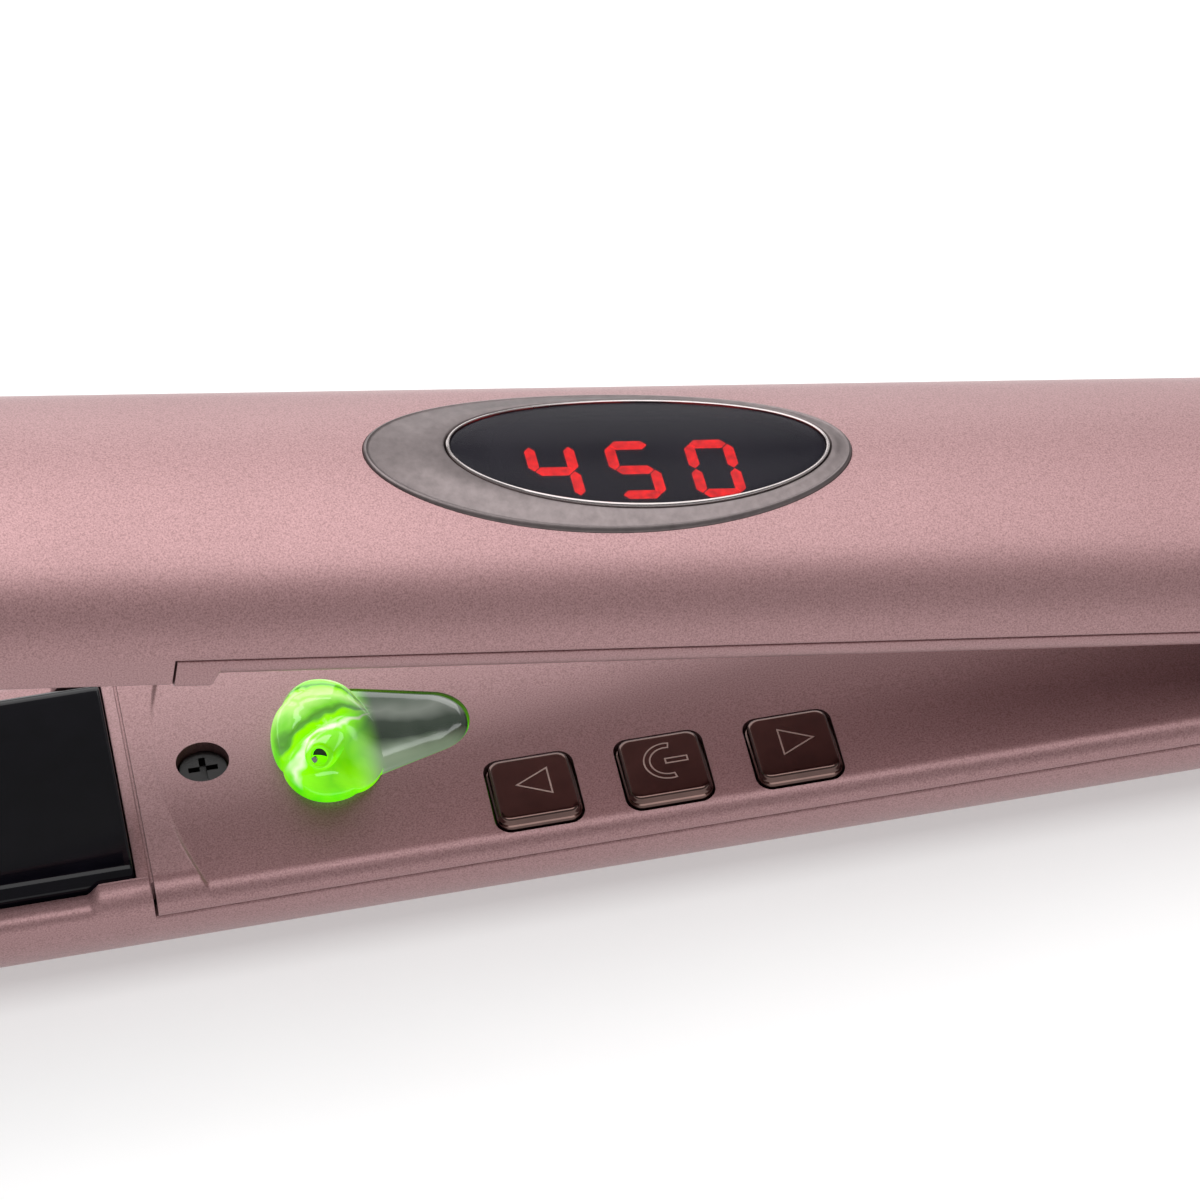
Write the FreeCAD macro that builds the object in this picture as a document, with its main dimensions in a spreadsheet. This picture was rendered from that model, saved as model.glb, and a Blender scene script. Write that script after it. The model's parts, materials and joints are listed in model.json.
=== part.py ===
import FreeCAD, Part
import math
import os
import sys

import Sketcher

# Flat iron, in millimetres. Each arm is drawn in its own arm frame: hinge axis on Y through
# the origin, tips towards -X, the plane where the two closed arms meet at Z = 0. The lower
# arm fills the space below that plane and the upper arm the space above it. Placements then
# set the lower arm on the ground and swing the upper arm up about the hinge.

os.makedirs("parts", exist_ok=True)
doc = FreeCAD.newDocument("FlatIron")
sheet = doc.addObject("Spreadsheet::Sheet", "dims")

DIMENSIONS = {
    # arm outline
    "half_width": 16.0, "seam": 4.0, "arm_depth": 10.5, "shoulder": 9.0, "wall": 1.8,
    "tip": 258.0, "nose_length": 11.5, "nose_round": 6.0, "nose_rim": 1.0,
    "rest_land": 0.4, "open_angle": 10.52, "lower_rim": 1.8, "upper_rim": 1.0,
    "rim_round": 1.4, "rim_inner": 13.5, "lip_depth": 1.2,
    # hinge and tail
    "barrel": 14.0, "barrel_gap": 0.6, "knuckle_half": 9.5, "knuckle_gap": 0.4,
    "pin_radius": 2.0, "pin_half": 14.7, "pin_fit": 0.05, "shell_end": 7.0,
    "cap_radius": 7.0, "cap_depth": 1.2, "spring_pocket": 6.4, "spring_depth": 6.0,
    "coil_radius": 4.6, "coil_wire": 0.6, "coil_turns": 3.0,
    "gland_front": 8.0, "gland_flange": 5.3, "gland_neck": 4.25, "gland_collar": 4.9,
    "gland_tail": 16.5, "cord_bore": 3.3, "gland_fit": 0.08, "flange_thick": 2.6,
    "collar_front": 14.3, "retainer_thick": 1.8, "washer_radius": 4.0, "washer_thick": 0.3,
    "leg_length": 3.0,
    # heater plates
    "plate_near": 145.9, "plate_far": 245.9, "plate_half": 13.2, "plate_gap": 0.1,
    "plate_thick": 3.3, "plate_round": 2.0, "rail_inner": 9.5, "rail_outer": 11.0,
    "rail_depth": 5.9, "frame_inner": 11.3, "frame_outer": 12.6, "frame_top": 4.7,
    "frame_floor": 7.2, "frame_base": 8.4, "frame_wall": 1.0, "rail_inset": 1.5,
    "heater_half": 35.0, "heater_thick": 1.6, "clamp_thick": 0.6, "cushion_radius": 2.0,
    "lead_radius": 0.8, "lead_y": 1.6, "lead_level": 6.3, "lead_room": 3.0, "lead_long": 4.2,
    "heater_wide": 5.0, "clamp_half": 4.0, "clamp_foot": 3.0, "clamp_pitch": 30.0,
    "sensor_radius": 0.85, "sensor_long": 3.6, "sensor_gap": 3.0, "cushion_inset": 8.0,
    "cushion_y": 7.0,
    # handle covers
    "cover_end": 144.2, "cover_tail": 15.2, "cover_top": 0.6, "cover_side": 0.7,
    "cover_shoulder": 1.9, "cover_skin": 1.5, "land_top": 0.7, "land_round": 2.5,
    "tab_round": 0.4,
    "land_crease_side": 139.0, "land_crease_rise": 3.0, "cover_bow": 0.75,
    "rim_overlap": 1.1, "rim_clear": 0.15, "end_wall": 1.6,
    "bridge_far": 149.3, "bridge_step": 1.4, "web_top": 1.9, "strip_near": 144.5,
    # fasteners
    "screw_front": 137.4, "screw_rear": 27.0, "screw_head": 2.3, "screw_recess": 2.6,
    "screw_sink": 1.6, "screw_shank": 1.1, "boss": 3.4, "head_high": 1.2,
    "slot_half": 1.45, "slot_thin": 0.32, "slot_deep": 0.7, "cover_shank": 6.0,
    # buttons and board
    "button_mid": 93.8, "button_pitch": 12.84, "button_y": 10.4, "button_half": 4.2,
    "button_top": 0.2, "button_bottom": 3.4, "button_corner": 1.3, "button_bevel": 0.7,
    "button_gap": 0.22, "board_top": 6.2, "board_thick": 1.4,
    "board_far": 120.0, "board_near": 58.0, "board_half": 12.8, "stem_radius": 1.5,
    "stem_start": 4.35, "switch_half": 2.2, "switch_thick": 1.2, "plunger_radius": 1.1,
    "plunger_high": 1.3, "post_hole": 0.9, "small_head": 1.7, "head_thick": 1.1,
    "small_shank": 0.8, "shank_reach": 3.4, "capacitor_x": 84.0, "capacitor_y": 7.0,
    "capacitor_radius": 1.9, "capacitor_long": 9.0,
    # ion outlet
    "ion_big_x": 123.0, "ion_big_r": 6.2, "ion_small_x": 115.1, "ion_small_r": 4.0, "ion_y": 0.5,
    "bulb_x": 125.2, "bulb_y": 0.6, "bulb_length": 5.4, "bulb_width": 7.2, "bulb_rise": 3.5,
    "window_top": 0.5, "window_base": 3.2, "cup_radius": 8.2, "cup_depth": 4.7, "cup_skin": 0.8,
    "tube_radius": 1.5, "tube_bore": 0.8, "tube_length": 4.2, "needle_radius": 0.3,
    "lamp_x": 120.0, "lamp_radius": 1.5, "lamp_base": 5.8, "lamp_top": 4.2,
    # display
    "bezel_x": 100.7, "bezel_long": 23.75, "bezel_wide": 9.6, "bezel_proud": 0.35,
    "lens_x": 97.8, "lens_y": 0.4, "lens_long": 18.2, "lens_wide": 7.1, "ring_width": 0.4,
    "digit_x": 97.9, "digit_y": 0.25, "digit_pitch": 7.8, "digit_high": 7.8, "digit_wide": 4.8,
    "digit_stroke": 1.0, "digit_gap": 0.12, "digit_thick": 0.15, "module_face": 12.0,
    "module_base": 8.1, "module_half": 12.6, "module_wide": 5.4, "panel_far": 128.0,
    "panel_near": 72.0, "panel_half": 11.0, "panel_base": 6.7, "panel_top": 8.0,
    "panel_screw_far": 124.5, "panel_screw_near": 75.5, "panel_shank": 5.0,
}
for row, (alias, number) in enumerate(DIMENSIONS.items(), start=1):
    sheet.set(f"A{row}", alias)
    sheet.set(f"B{row}", str(number))
    sheet.setAlias(f"B{row}", alias)
doc.recompute()


class Size:
    """A length with its value and the spreadsheet expression that gives it."""

    def __init__(self, value, text):
        self.value = float(value)
        self.text = text

    def join(self, other, sign, value):
        other = size(other)
        return Size(value(self.value, other.value), f"({self.text} {sign} {other.text})")

    def __add__(self, other):
        return self.join(other, "+", lambda a, b: a + b)

    def __sub__(self, other):
        return self.join(other, "-", lambda a, b: a - b)

    def __mul__(self, other):
        return self.join(other, "*", lambda a, b: a * b)

    def __truediv__(self, other):
        return self.join(other, "/", lambda a, b: a / b)

    def __rsub__(self, other):
        return size(other) - self

    def __neg__(self):
        return Size(-self.value, f"(0 - {self.text})")

    __radd__ = __add__
    __rmul__ = __mul__


def size(item):
    if isinstance(item, Size):
        return item
    if isinstance(item, str):
        return Size(sheet.get(item), f"dims.{item}")
    return Size(item, repr(float(item)))


class Dims:
    """dims.name for each cell of the sheet."""

    def __getattr__(self, alias):
        return size(alias)


D = Dims()
LOWER = -1
UPPER = 1


def bind(item, prop, amount):
    item.setExpression(prop, size(amount).text)


# ---------------------------------------------------------------- sketches and bodies

PLANES = {"XY": "XY_Plane", "XZ": "XZ_Plane", "YZ": "YZ_Plane"}


def new_body(name):
    return doc.addObject("PartDesign::Body", name)


def sketch_on(body, name, plane, offset=0.0):
    """A sketch on one of the body's own origin planes, offset along the plane's normal."""
    sketch = body.newObject("Sketcher::SketchObject", name)
    base = [item for item in body.Origin.OriginFeatures if item.Role == PLANES[plane]][0]
    sketch.AttachmentSupport = [(base, "")]
    sketch.MapMode = "FlatFace"
    bind(sketch, "AttachmentOffset.Base.z", offset)
    return sketch


def pin_point(sketch, edge, end, place):
    """Fixes one end of an edge at a place given by two sizes."""
    for kind, axis, amount in (("DistanceX", -2, place[0]), ("DistanceY", -1, place[1])):
        amount = size(amount)
        if abs(amount.value) < 1e-9:
            sketch.addConstraint(Sketcher.Constraint("PointOnObject", edge, end, axis))
        elif amount.value > 0:
            number = sketch.addConstraint(
                Sketcher.Constraint(kind, -1, 1, edge, end, amount.value))
            bind(sketch, f"Constraints[{number}]", amount)
        else:
            number = sketch.addConstraint(
                Sketcher.Constraint(kind, edge, end, -1, 1, -amount.value))
            bind(sketch, f"Constraints[{number}]", -amount)


def arc_between(start, end, radius, turn):
    """A minor arc from start to end; turn is +1 for anticlockwise and -1 for clockwise."""
    a = FreeCAD.Vector(start[0].value, start[1].value, 0)
    b = FreeCAD.Vector(end[0].value, end[1].value, 0)
    chord = b - a
    reach = math.sqrt(max(radius.value ** 2 - (chord.Length / 2) ** 2, 0.0))
    side = FreeCAD.Vector(-chord.y, chord.x, 0).normalize() * (turn * reach)
    centre = a + chord * 0.5 + side
    first = math.atan2(a.y - centre.y, a.x - centre.x)
    last = math.atan2(b.y - centre.y, b.x - centre.x)
    if turn < 0:
        first, last = last, first
    circle = Part.Circle(centre, FreeCAD.Vector(0, 0, 1), radius.value)
    return Part.ArcOfCircle(circle, first, last)


def outline(sketch, corners):
    """A closed outline. A corner is (x, y), or (x, y, radius, turn) when an arc starts there."""
    count = len(corners)
    places = [(size(corner[0]), size(corner[1])) for corner in corners]
    ends = []
    for index, corner in enumerate(corners):
        start = places[index]
        end = places[(index + 1) % count]
        if len(corner) == 2:
            line = Part.LineSegment(FreeCAD.Vector(start[0].value, start[1].value, 0),
                                    FreeCAD.Vector(end[0].value, end[1].value, 0))
            edge = sketch.addGeometry(line)
            ends.append((edge, 1, 2))
        else:
            edge = sketch.addGeometry(arc_between(start, end, size(corner[2]), corner[3]))
            number = sketch.addConstraint(
                Sketcher.Constraint("Radius", edge, size(corner[2]).value))
            bind(sketch, f"Constraints[{number}]", corner[2])
            ends.append((edge, 1, 2) if corner[3] > 0 else (edge, 2, 1))
    for index, (edge, first, last) in enumerate(ends):
        following = ends[(index + 1) % count]
        sketch.addConstraint(
            Sketcher.Constraint("Coincident", edge, last, following[0], following[1]))
        pin_point(sketch, edge, first, places[index])
    return sketch


def ellipse_outline(sketch, x, y, half_long, half_wide):
    """An ellipse with its long axis along the sketch's x."""
    x, y = size(x), size(y)
    half_long, half_wide = size(half_long), size(half_wide)
    curve = Part.Ellipse(FreeCAD.Vector(x.value, y.value, 0), half_long.value, half_wide.value)
    edge = sketch.addGeometry(curve)
    sketch.exposeInternalGeometry(edge)
    pin_point(sketch, edge, 3, (x, y))
    pin_point(sketch, edge + 1, 1, (x + half_long, y))
    number = sketch.addConstraint(
        Sketcher.Constraint("DistanceY", edge, 3, edge + 2, 1, half_wide.value))
    bind(sketch, f"Constraints[{number}]", half_wide)
    return sketch


def pad(body, name, sketch, length, midplane=False):
    feature = body.newObject("PartDesign::Pad", name)
    feature.Profile = sketch
    feature.SideType = "Symmetric" if midplane else "One side"
    bind(feature, "Length", length)
    doc.recompute()
    return feature


def pocket(body, name, sketch, length):
    """Cuts from the sketch along its plane's normal."""
    feature = body.newObject("PartDesign::Pocket", name)
    feature.Profile = sketch
    feature.Reversed = True
    bind(feature, "Length", length)
    before = body.Tip.BaseFeature.Shape.Volume if body.Tip.BaseFeature else 0
    doc.recompute()
    if before and feature.Shape.Volume >= before - 1e-6:
        raise RuntimeError(f"{name} cut nothing")
    return feature


def dress(body, name, kind, feature, radius, picks):
    """A fillet or chamfer on the edges that picks() accepts."""
    doc.recompute()
    names = [f"Edge{n}" for n, edge in enumerate(feature.Shape.Edges, start=1) if picks(edge)]
    dressed = body.newObject(f"PartDesign::{kind}", name)
    dressed.Base = (feature, names)
    bind(dressed, "Radius" if kind == "Fillet" else "Size", radius)
    doc.recompute()
    return dressed


# ---------------------------------------------------------------- primitives and booleans

def box(name, x, y, z):
    """A box from pairs of sizes: x = (low, high) and so on."""
    block = doc.addObject("Part::Box", name)
    for prop, axis, (low, high) in (("Length", "x", x), ("Width", "y", y), ("Height", "z", z)):
        bind(block, prop, size(high) - low)
        bind(block, f"Placement.Base.{axis}", low)
    return block


TURNS = {
    "x": FreeCAD.Rotation(FreeCAD.Vector(0, 1, 0), 90),
    "y": FreeCAD.Rotation(FreeCAD.Vector(1, 0, 0), -90),
    "z": FreeCAD.Rotation(),
}


def rod(name, axis, start, radius, length):
    """A cylinder from the point start, along +X, +Y or +Z."""
    cylinder = doc.addObject("Part::Cylinder", name)
    cylinder.Placement = FreeCAD.Placement(FreeCAD.Vector(), TURNS[axis])
    bind(cylinder, "Radius", radius)
    bind(cylinder, "Height", length)
    for letter, amount in zip("xyz", start):
        bind(cylinder, f"Placement.Base.{letter}", amount)
    return cylinder


def cut(name, base, *tools):
    for index, tool in enumerate(tools):
        result = doc.addObject("Part::Cut", name if index == len(tools) - 1 else f"{name}_cut{index}")
        result.Base = base
        result.Tool = tool
        base = result
    doc.recompute()
    return base


def fuse(name, *pieces):
    result = doc.addObject("Part::MultiFuse", name)
    result.Shapes = list(pieces)
    result.Refine = True
    doc.recompute()
    return result


def common(name, *pieces):
    result = doc.addObject("Part::MultiCommon", name)
    result.Shapes = list(pieces)
    doc.recompute()
    return result


def group(name, *pieces):
    """Separate solids in one node."""
    result = doc.addObject("Part::Compound", name)
    result.Links = list(pieces)
    doc.recompute()
    return result


def span(arm, near, far):
    """The two heights of something that runs from near to far of the meeting plane."""
    near, far = size(near), size(far)
    return (-far, -near) if arm == LOWER else (near, far)


def side_name(arm):
    return "lower" if arm == LOWER else "upper"


nodes = {}


def keep(name, item, arm):
    """Names a finished piece and notes the arm that it is placed with."""
    if item.TypeId in ("Part::Box", "Part::Cylinder"):
        item.Label = f"{name}_shape"
        item = group(f"{name}_node", item)
    for other in doc.Objects:
        if other.Label == name and other is not item:
            other.Label = f"{name}_base"
    item.Label = name
    nodes[name] = (item, arm)


# ---------------------------------------------------------------- arm cross-section

def arm_section(sketch, arm, rim, inset):
    """Half-oval section of an arm in Y and Z, open towards the meeting plane, drawn inset."""
    inset = size(inset)
    flat = D.half_width - D.shoulder
    rise = D.arm_depth - D.shoulder
    drop = (flat * flat - rise * rise) / (rise * 2)
    between = drop + rise
    side = D.half_width - inset
    joint_y = flat + (D.shoulder - inset) * flat / between
    joint_z = D.seam + (D.shoulder - inset) * drop / between
    crown = between + D.shoulder - inset
    corners = [
        (-side, arm * D.seam, D.shoulder - inset, -arm),
        (-joint_y, arm * joint_z, crown, -arm),
        (joint_y, arm * joint_z, D.shoulder - inset, -arm),
        (side, arm * D.seam),
    ]
    if size(rim).value != D.seam.value:
        corners += [(side, arm * size(rim)), (-side, arm * size(rim))]
    return outline(sketch, corners)


def oval_block(name, near, far):
    """Both arms' closed outline, run between two distances behind or ahead of the hinge."""
    halves = []
    for arm in (LOWER, UPPER):
        body = new_body(f"{name}_{side_name(arm)}")
        section = sketch_on(body, f"{name}_section_{side_name(arm)}", "YZ", near)
        arm_section(section, arm, 0.0, 0.0)
        pad(body, f"{name}_pad_{side_name(arm)}", section, far - near)
        halves.append(body)
    return fuse(name, *halves)


def barrel_part(name, y_low, y_high):
    """A slice of the rounded hinge barrel, as wide as the arm's own outline allows."""
    disc = rod(f"{name}_disc", "y", (0, y_low, 0), D.barrel, size(y_high) - y_low)
    outside = oval_block(f"{name}_oval", size(-20.0), size(20.0))
    return common(name, disc, outside)


# ---------------------------------------------------------------- housings

def shell(arm):
    """Outer skin of an arm from the nose to the hinge, hollow and open at its rim."""
    tag = side_name(arm)
    rim = D.lower_rim if arm == LOWER else D.upper_rim
    rim_end = -D.strip_near if arm == LOWER else -D.cover_end + D.rim_overlap
    handle_start = -D.strip_near if arm == LOWER else -D.cover_end
    nose_start = -(D.tip - D.nose_length)
    body = new_body(f"{tag}_shell")
    nose = sketch_on(body, f"{tag}_nose_section", "YZ", -D.tip)
    arm_section(nose, arm, D.nose_rim, 0.0)
    nose_pad = pad(body, f"{tag}_nose", nose, D.nose_length)

    def at_tip(edge):
        ends_on_tip = all(abs(v.X + D.tip.value) < 1e-4 for v in edge.Vertexes)
        on_rim = all(abs(abs(v.Z) - D.nose_rim.value) < 1e-4 for v in edge.Vertexes)
        return ends_on_tip and not on_rim

    dress(body, f"{tag}_nose_fillet", "Fillet", nose_pad, D.nose_round, at_tip)
    plate_part = sketch_on(body, f"{tag}_plate_section", "YZ", nose_start)
    arm_section(plate_part, arm, rim, 0.0)
    pad(body, f"{tag}_plate_part", plate_part, rim_end - nose_start)
    handle = sketch_on(body, f"{tag}_handle_section", "YZ", handle_start)
    arm_section(handle, arm, D.seam, 0.0)
    pad(body, f"{tag}_handle", handle, -D.shell_end - handle_start)
    inside = sketch_on(body, f"{tag}_inner_section", "YZ", nose_start + 0.1)
    arm_section(inside, arm, 0.0, D.wall)
    pocket(body, f"{tag}_inside", inside, -nose_start - 16.1)
    nose_room = sketch_on(body, f"{tag}_nose_room_section", "YZ", -(D.tip - 3.5))
    half, top, bottom = D.half_width - 6, arm * (D.seam + 1.5), arm * (D.seam + 6.5)
    outline(nose_room, [(-half, top), (-half, bottom), (half, bottom), (half, top)])
    pocket(body, f"{tag}_nose_room", nose_room, D.nose_length)
    return body


def rounded_top(sketch, arm, radius, base):
    """Section of a flat-topped land as wide as the arm, with rounded long edges."""
    half, top = D.half_width, arm * D.land_top
    turn = arm * (D.land_top + radius)
    return outline(sketch, [
        (half, arm * base),
        (half, turn, radius, -arm),
        (half - radius, top),
        (-half + radius, top, radius, -arm),
        (-half, turn),
        (-half, arm * base),
    ])


def rim_corners():
    """Tools that round the lower rim's outer edges beside the plate."""
    tools = []
    centre_y, centre_z = D.half_width - D.rim_round, -D.lower_rim - D.rim_round
    far, near = -D.tip + D.nose_length, -D.strip_near
    for name, side in (("left", 1), ("right", -1)):
        ends = (centre_y, D.half_width + 1) if side > 0 else (-D.half_width - 1, -centre_y)
        corner = box(f"rim_corner_{name}", (far, near), ends, (centre_z, -D.lower_rim + 1))
        core = rod(f"rim_core_{name}", "x", (far - 1, side * centre_y, centre_z), D.rim_round,
                   near - far + 2)
        tools.append(cut(f"rim_tool_{name}", corner, core))
    return tools


def end_bridge(arm):
    """Raised rim and cross strip between the heater plate and the handle cover."""
    tag = side_name(arm)
    strip_far = -D.plate_near + 0.15
    strip_half = D.plate_half + 0.1
    strip = box(f"{tag}_strip", (strip_far, -D.strip_near), (-strip_half, strip_half),
                span(arm, D.land_top, D.seam + 1.2))
    wall_inside = D.half_width - D.wall * 0.8
    web_blank = box(f"{tag}_web_blank", (strip_far, -D.strip_near), (-wall_inside, wall_inside),
                    span(arm, D.web_top, D.seam + 3.0))
    lead_room = box(f"{tag}_lead_room", (-D.plate_near - 1, -D.strip_near + 1),
                    (-D.lead_room, D.lead_room),
                    span(arm, D.lead_level - D.lead_radius - 0.3, D.seam + 4.0))
    web = cut(f"{tag}_web", web_blank, lead_room)
    if arm == UPPER:
        return [strip, web]
    base = D.seam + 0.6
    body = new_body("lower_bridge")
    side = sketch_on(body, "lower_bridge_outline", "XZ", 0.0)
    half_step = D.bridge_step / 2
    middle = (D.lower_rim + D.land_top) / 2
    half_rise = (D.lower_rim - D.land_top) / 2
    radius = (half_step * half_step + half_rise * half_rise) / (half_rise * 2)
    outline(side, [
        (-D.bridge_far - D.bridge_step, -base),
        (-D.bridge_far - D.bridge_step, -D.lower_rim, radius, 1),
        (-D.bridge_far - half_step, -middle, radius, -1),
        (-D.bridge_far, -D.land_top),
        (-D.strip_near, -D.land_top),
        (-D.strip_near, -base),
    ])
    pad(body, "lower_bridge_pad", side, D.half_width * 2, midplane=True)
    shoulder = new_body("lower_bridge_shoulder")
    start = -D.bridge_far - D.bridge_step
    across = sketch_on(shoulder, "lower_bridge_section", "YZ", start)
    rounded_top(across, LOWER, D.land_round, base)
    pad(shoulder, "lower_shoulder_pad", across, -D.strip_near - start)
    room = box("lower_bridge_room", (-D.bridge_far - 5, -D.strip_near + 1),
               (-D.rim_inner, D.rim_inner), (-D.seam - 2, 0))
    rim = cut("lower_bridge_rim", common("lower_bridge_blank", body, shoulder), room)
    lips = [box(f"lower_lip_{name}", (-D.tip + D.nose_length, -D.bridge_far), ends,
                (-D.lower_rim - D.lip_depth, -D.lower_rim))
            for name, ends in (("left", (D.rim_inner, D.half_width - 1.5)),
                               ("right", (-D.half_width + 1.5, -D.rim_inner)))]
    return [strip, web, rim, *lips]


def boss_floor(y_reach):
    """Depth below the meeting plane that is inside the wall for bosses near the centre line."""
    return D.seam + D.arm_depth - D.wall * 0.5 - size(y_reach)


def cover_bosses(arm):
    tag = side_name(arm)
    bosses = []
    for index, place in enumerate((D.screw_front, D.screw_rear)):
        low, high = span(arm, D.seam, boss_floor(0.3))
        bosses.append(rod(f"{tag}_boss{index}", "z", (-place, 0, low), D.boss, high - low))
    return bosses


def screw_holes(arm):
    tag = side_name(arm)
    holes = []
    for index, place in enumerate((D.screw_front, D.screw_rear)):
        low, high = span(arm, D.seam - 0.5, D.seam + 6.5)
        holes.append(rod(f"{tag}_pilot{index}", "z", (-place, 0, low), D.screw_shank, high - low))
    return holes


def lower_housing():
    skin = shell(LOWER)
    land = box("lower_land_cut", (-300, 40), (-40, 40),
               (-60, -D.seam - D.arm_depth + D.rest_land))
    trimmed = cut("lower_trimmed", skin, land)
    gap_radius = D.barrel + D.barrel_gap
    ear_gap_low = D.knuckle_half + D.knuckle_gap / 2
    left = rod("lower_ear_room_left", "y", (0, ear_gap_low, 0), gap_radius, 20)
    right = rod("lower_ear_room_right", "y", (0, -ear_gap_low - 20, 0), gap_radius, 20)
    opened = cut("lower_opened", trimmed, left, right, *rim_corners())
    knuckle = barrel_part("lower_knuckle", -D.knuckle_half, D.knuckle_half)
    neck = box("lower_neck", (-15, -5), (-D.knuckle_half, D.knuckle_half),
               (-D.seam - D.arm_depth + 1.2, -4.2))
    whole = fuse("lower_whole", opened, knuckle, neck, *end_bridge(LOWER), *cover_bosses(LOWER),
                 *board_posts())
    bore = rod("lower_pin_bore", "y", (0, -20, 0), D.pin_radius + D.pin_fit, 40)
    spring_room = rod("lower_spring_room", "y", (0, -D.knuckle_half - 1, 0), D.spring_pocket,
                      D.spring_depth + 1)
    gland_room = rod("lower_gland_room", "x", (D.gland_front - 0.2, 0, 0),
                     D.gland_flange + 0.3, 12)
    wire_drop = box("lower_wire_drop", (D.gland_front - 0.2, D.gland_front + 2.2), (-3.2, 3.2),
                    (-10.4, 0))
    wire_way = box("lower_wire_way", (-24, D.gland_front + 1), (-3.2, 3.2), (-10.4, -7.0))
    keep("lower_housing", cut("lower_housing", whole, bore, spring_room, gland_room, wire_drop,
                              wire_way, *screw_holes(LOWER), *board_pilots()), LOWER)


def upper_housing():
    skin = shell(UPPER)
    knuckle_room = rod("upper_knuckle_room", "y", (0, -D.knuckle_half - D.knuckle_gap / 2, 0),
                       D.barrel + D.barrel_gap, D.knuckle_half * 2 + D.knuckle_gap)
    opened = cut("upper_opened", skin, knuckle_room)
    ear_start = D.knuckle_half + D.knuckle_gap
    left = barrel_part("upper_ear_left", ear_start, D.half_width)
    right = barrel_part("upper_ear_right", -D.half_width, -ear_start)
    whole = fuse("upper_whole", opened, left, right, *end_bridge(UPPER), *cover_bosses(UPPER))
    bore = rod("upper_pin_bore", "y", (0, -D.pin_half, 0), D.pin_radius, D.pin_half * 2)
    cap_rooms = [
        rod("upper_cap_room_left", "y", (0, D.half_width - D.cap_depth, 0), D.cap_radius, 5),
        rod("upper_cap_room_right", "y", (0, -D.half_width + D.cap_depth - 5, 0),
            D.cap_radius, 5),
    ]
    # The spring is drawn with the arms open, so its leg's hole is turned back by that angle.
    angle = math.radians(D.open_angle.value)
    leg_x = -D.coil_radius * Size(math.cos(angle), "cos(dims.open_angle)")
    leg_z = -D.coil_radius * Size(math.sin(angle), "sin(dims.open_angle)")
    leg_hole = rod("upper_leg_hole", "y", (leg_x, -ear_start - 2.6, leg_z),
                   D.coil_wire + 0.25, 4)
    window = bezel_prism("upper_window", D.bezel_long - 0.1, D.bezel_wide - 0.1)
    keep("upper_housing", cut("upper_housing", whole, bore, *cap_rooms, leg_hole, window,
                              *screw_holes(UPPER)), UPPER)


# ---------------------------------------------------------------- handle covers

def cover_section(sketch, arm):
    """Shallow crowned section of a cover; its sides stand on the seam."""
    side = D.half_width
    flat = side - D.cover_shoulder
    rise = D.seam - D.cover_top - D.cover_side - D.cover_shoulder
    drop = (flat * flat - rise * rise) / (rise * 2)
    between = drop + rise
    level = D.seam - D.cover_side
    joint_y = flat + D.cover_shoulder * flat / between
    joint_z = level - D.cover_shoulder * drop / between
    return outline(sketch, [
        (side, arm * D.seam),
        (side, arm * level, D.cover_shoulder, -arm),
        (joint_y, arm * joint_z, between + D.cover_shoulder, -arm),
        (-joint_y, arm * joint_z, D.cover_shoulder, -arm),
        (-side, arm * level),
        (-side, arm * D.seam),
    ])


def cover_room_section(sketch, arm):
    """Section of the hollow inside a cover, under its skin."""
    side = D.half_width - D.wall
    bow = D.cover_bow
    edge = D.cover_top + D.cover_skin + bow
    bow_radius = (side * side + bow * bow) / (bow * 2)
    return outline(sketch, [
        (side, arm * (D.seam + 1)),
        (side, arm * edge, bow_radius, -arm),
        (-side, arm * edge),
        (-side, arm * (D.seam + 1)),
    ])


def cover_blank(arm):
    """The cover's skin, with its raised land at the plate end."""
    tag = side_name(arm)
    start = -D.cover_end
    length = D.cover_end - D.cover_tail
    body = new_body(f"{tag}_cover_body")
    outside = sketch_on(body, f"{tag}_cover_section", "YZ", start)
    cover_section(outside, arm)
    pad(body, f"{tag}_cover_pad", outside, length)

    land = new_body(f"{tag}_land_body")
    land_sketch = sketch_on(land, f"{tag}_land_section", "YZ", start)
    rounded_top(land_sketch, arm, D.land_round if arm == LOWER else D.tab_round, D.seam)
    pad(land, f"{tag}_land_pad", land_sketch, D.cover_end - D.land_crease_side)
    half, rise = D.half_width, D.land_crease_rise
    sweep = (half * half + rise * rise) / (rise * 2)
    low, high = span(arm, 0.0, D.seam + 1)
    crease = rod(f"{tag}_crease", "z", (-D.land_crease_side - rise + sweep, 0, low), sweep,
                 high - low)
    raised = cut(f"{tag}_land", land, crease)
    whole = fuse(f"{tag}_cover_whole", body, raised)

    hollow = new_body(f"{tag}_cover_hollow")
    inside = sketch_on(hollow, f"{tag}_cover_inner", "YZ", start + D.end_wall)
    cover_room_section(inside, arm)
    pad(hollow, f"{tag}_cover_room", inside, length - D.end_wall * 2)
    return cut(f"{tag}_cover_skin", whole, hollow)


def cover_parts(arm):
    """Screw posts to add and screw recesses to cut, for one cover."""
    tag = side_name(arm)
    posts = []
    holes = []
    for index, place in enumerate((D.screw_front, D.screw_rear)):
        low, high = span(arm, D.cover_top + 0.3, D.seam)
        posts.append(rod(f"{tag}_post{index}", "z", (-place, 0, low), D.boss + 0.8, high - low))
        head_floor = D.cover_top + D.screw_sink + 0.6
        low, high = span(arm, 0.0, head_floor)
        holes.append(rod(f"{tag}_recess{index}", "z", (-place, 0, low), D.screw_recess,
                         high - low))
        low, high = span(arm, 0.0, D.seam + 1)
        holes.append(rod(f"{tag}_clear{index}", "z", (-place, 0, low), D.screw_shank + 0.2,
                         high - low))
    return posts, holes


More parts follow.
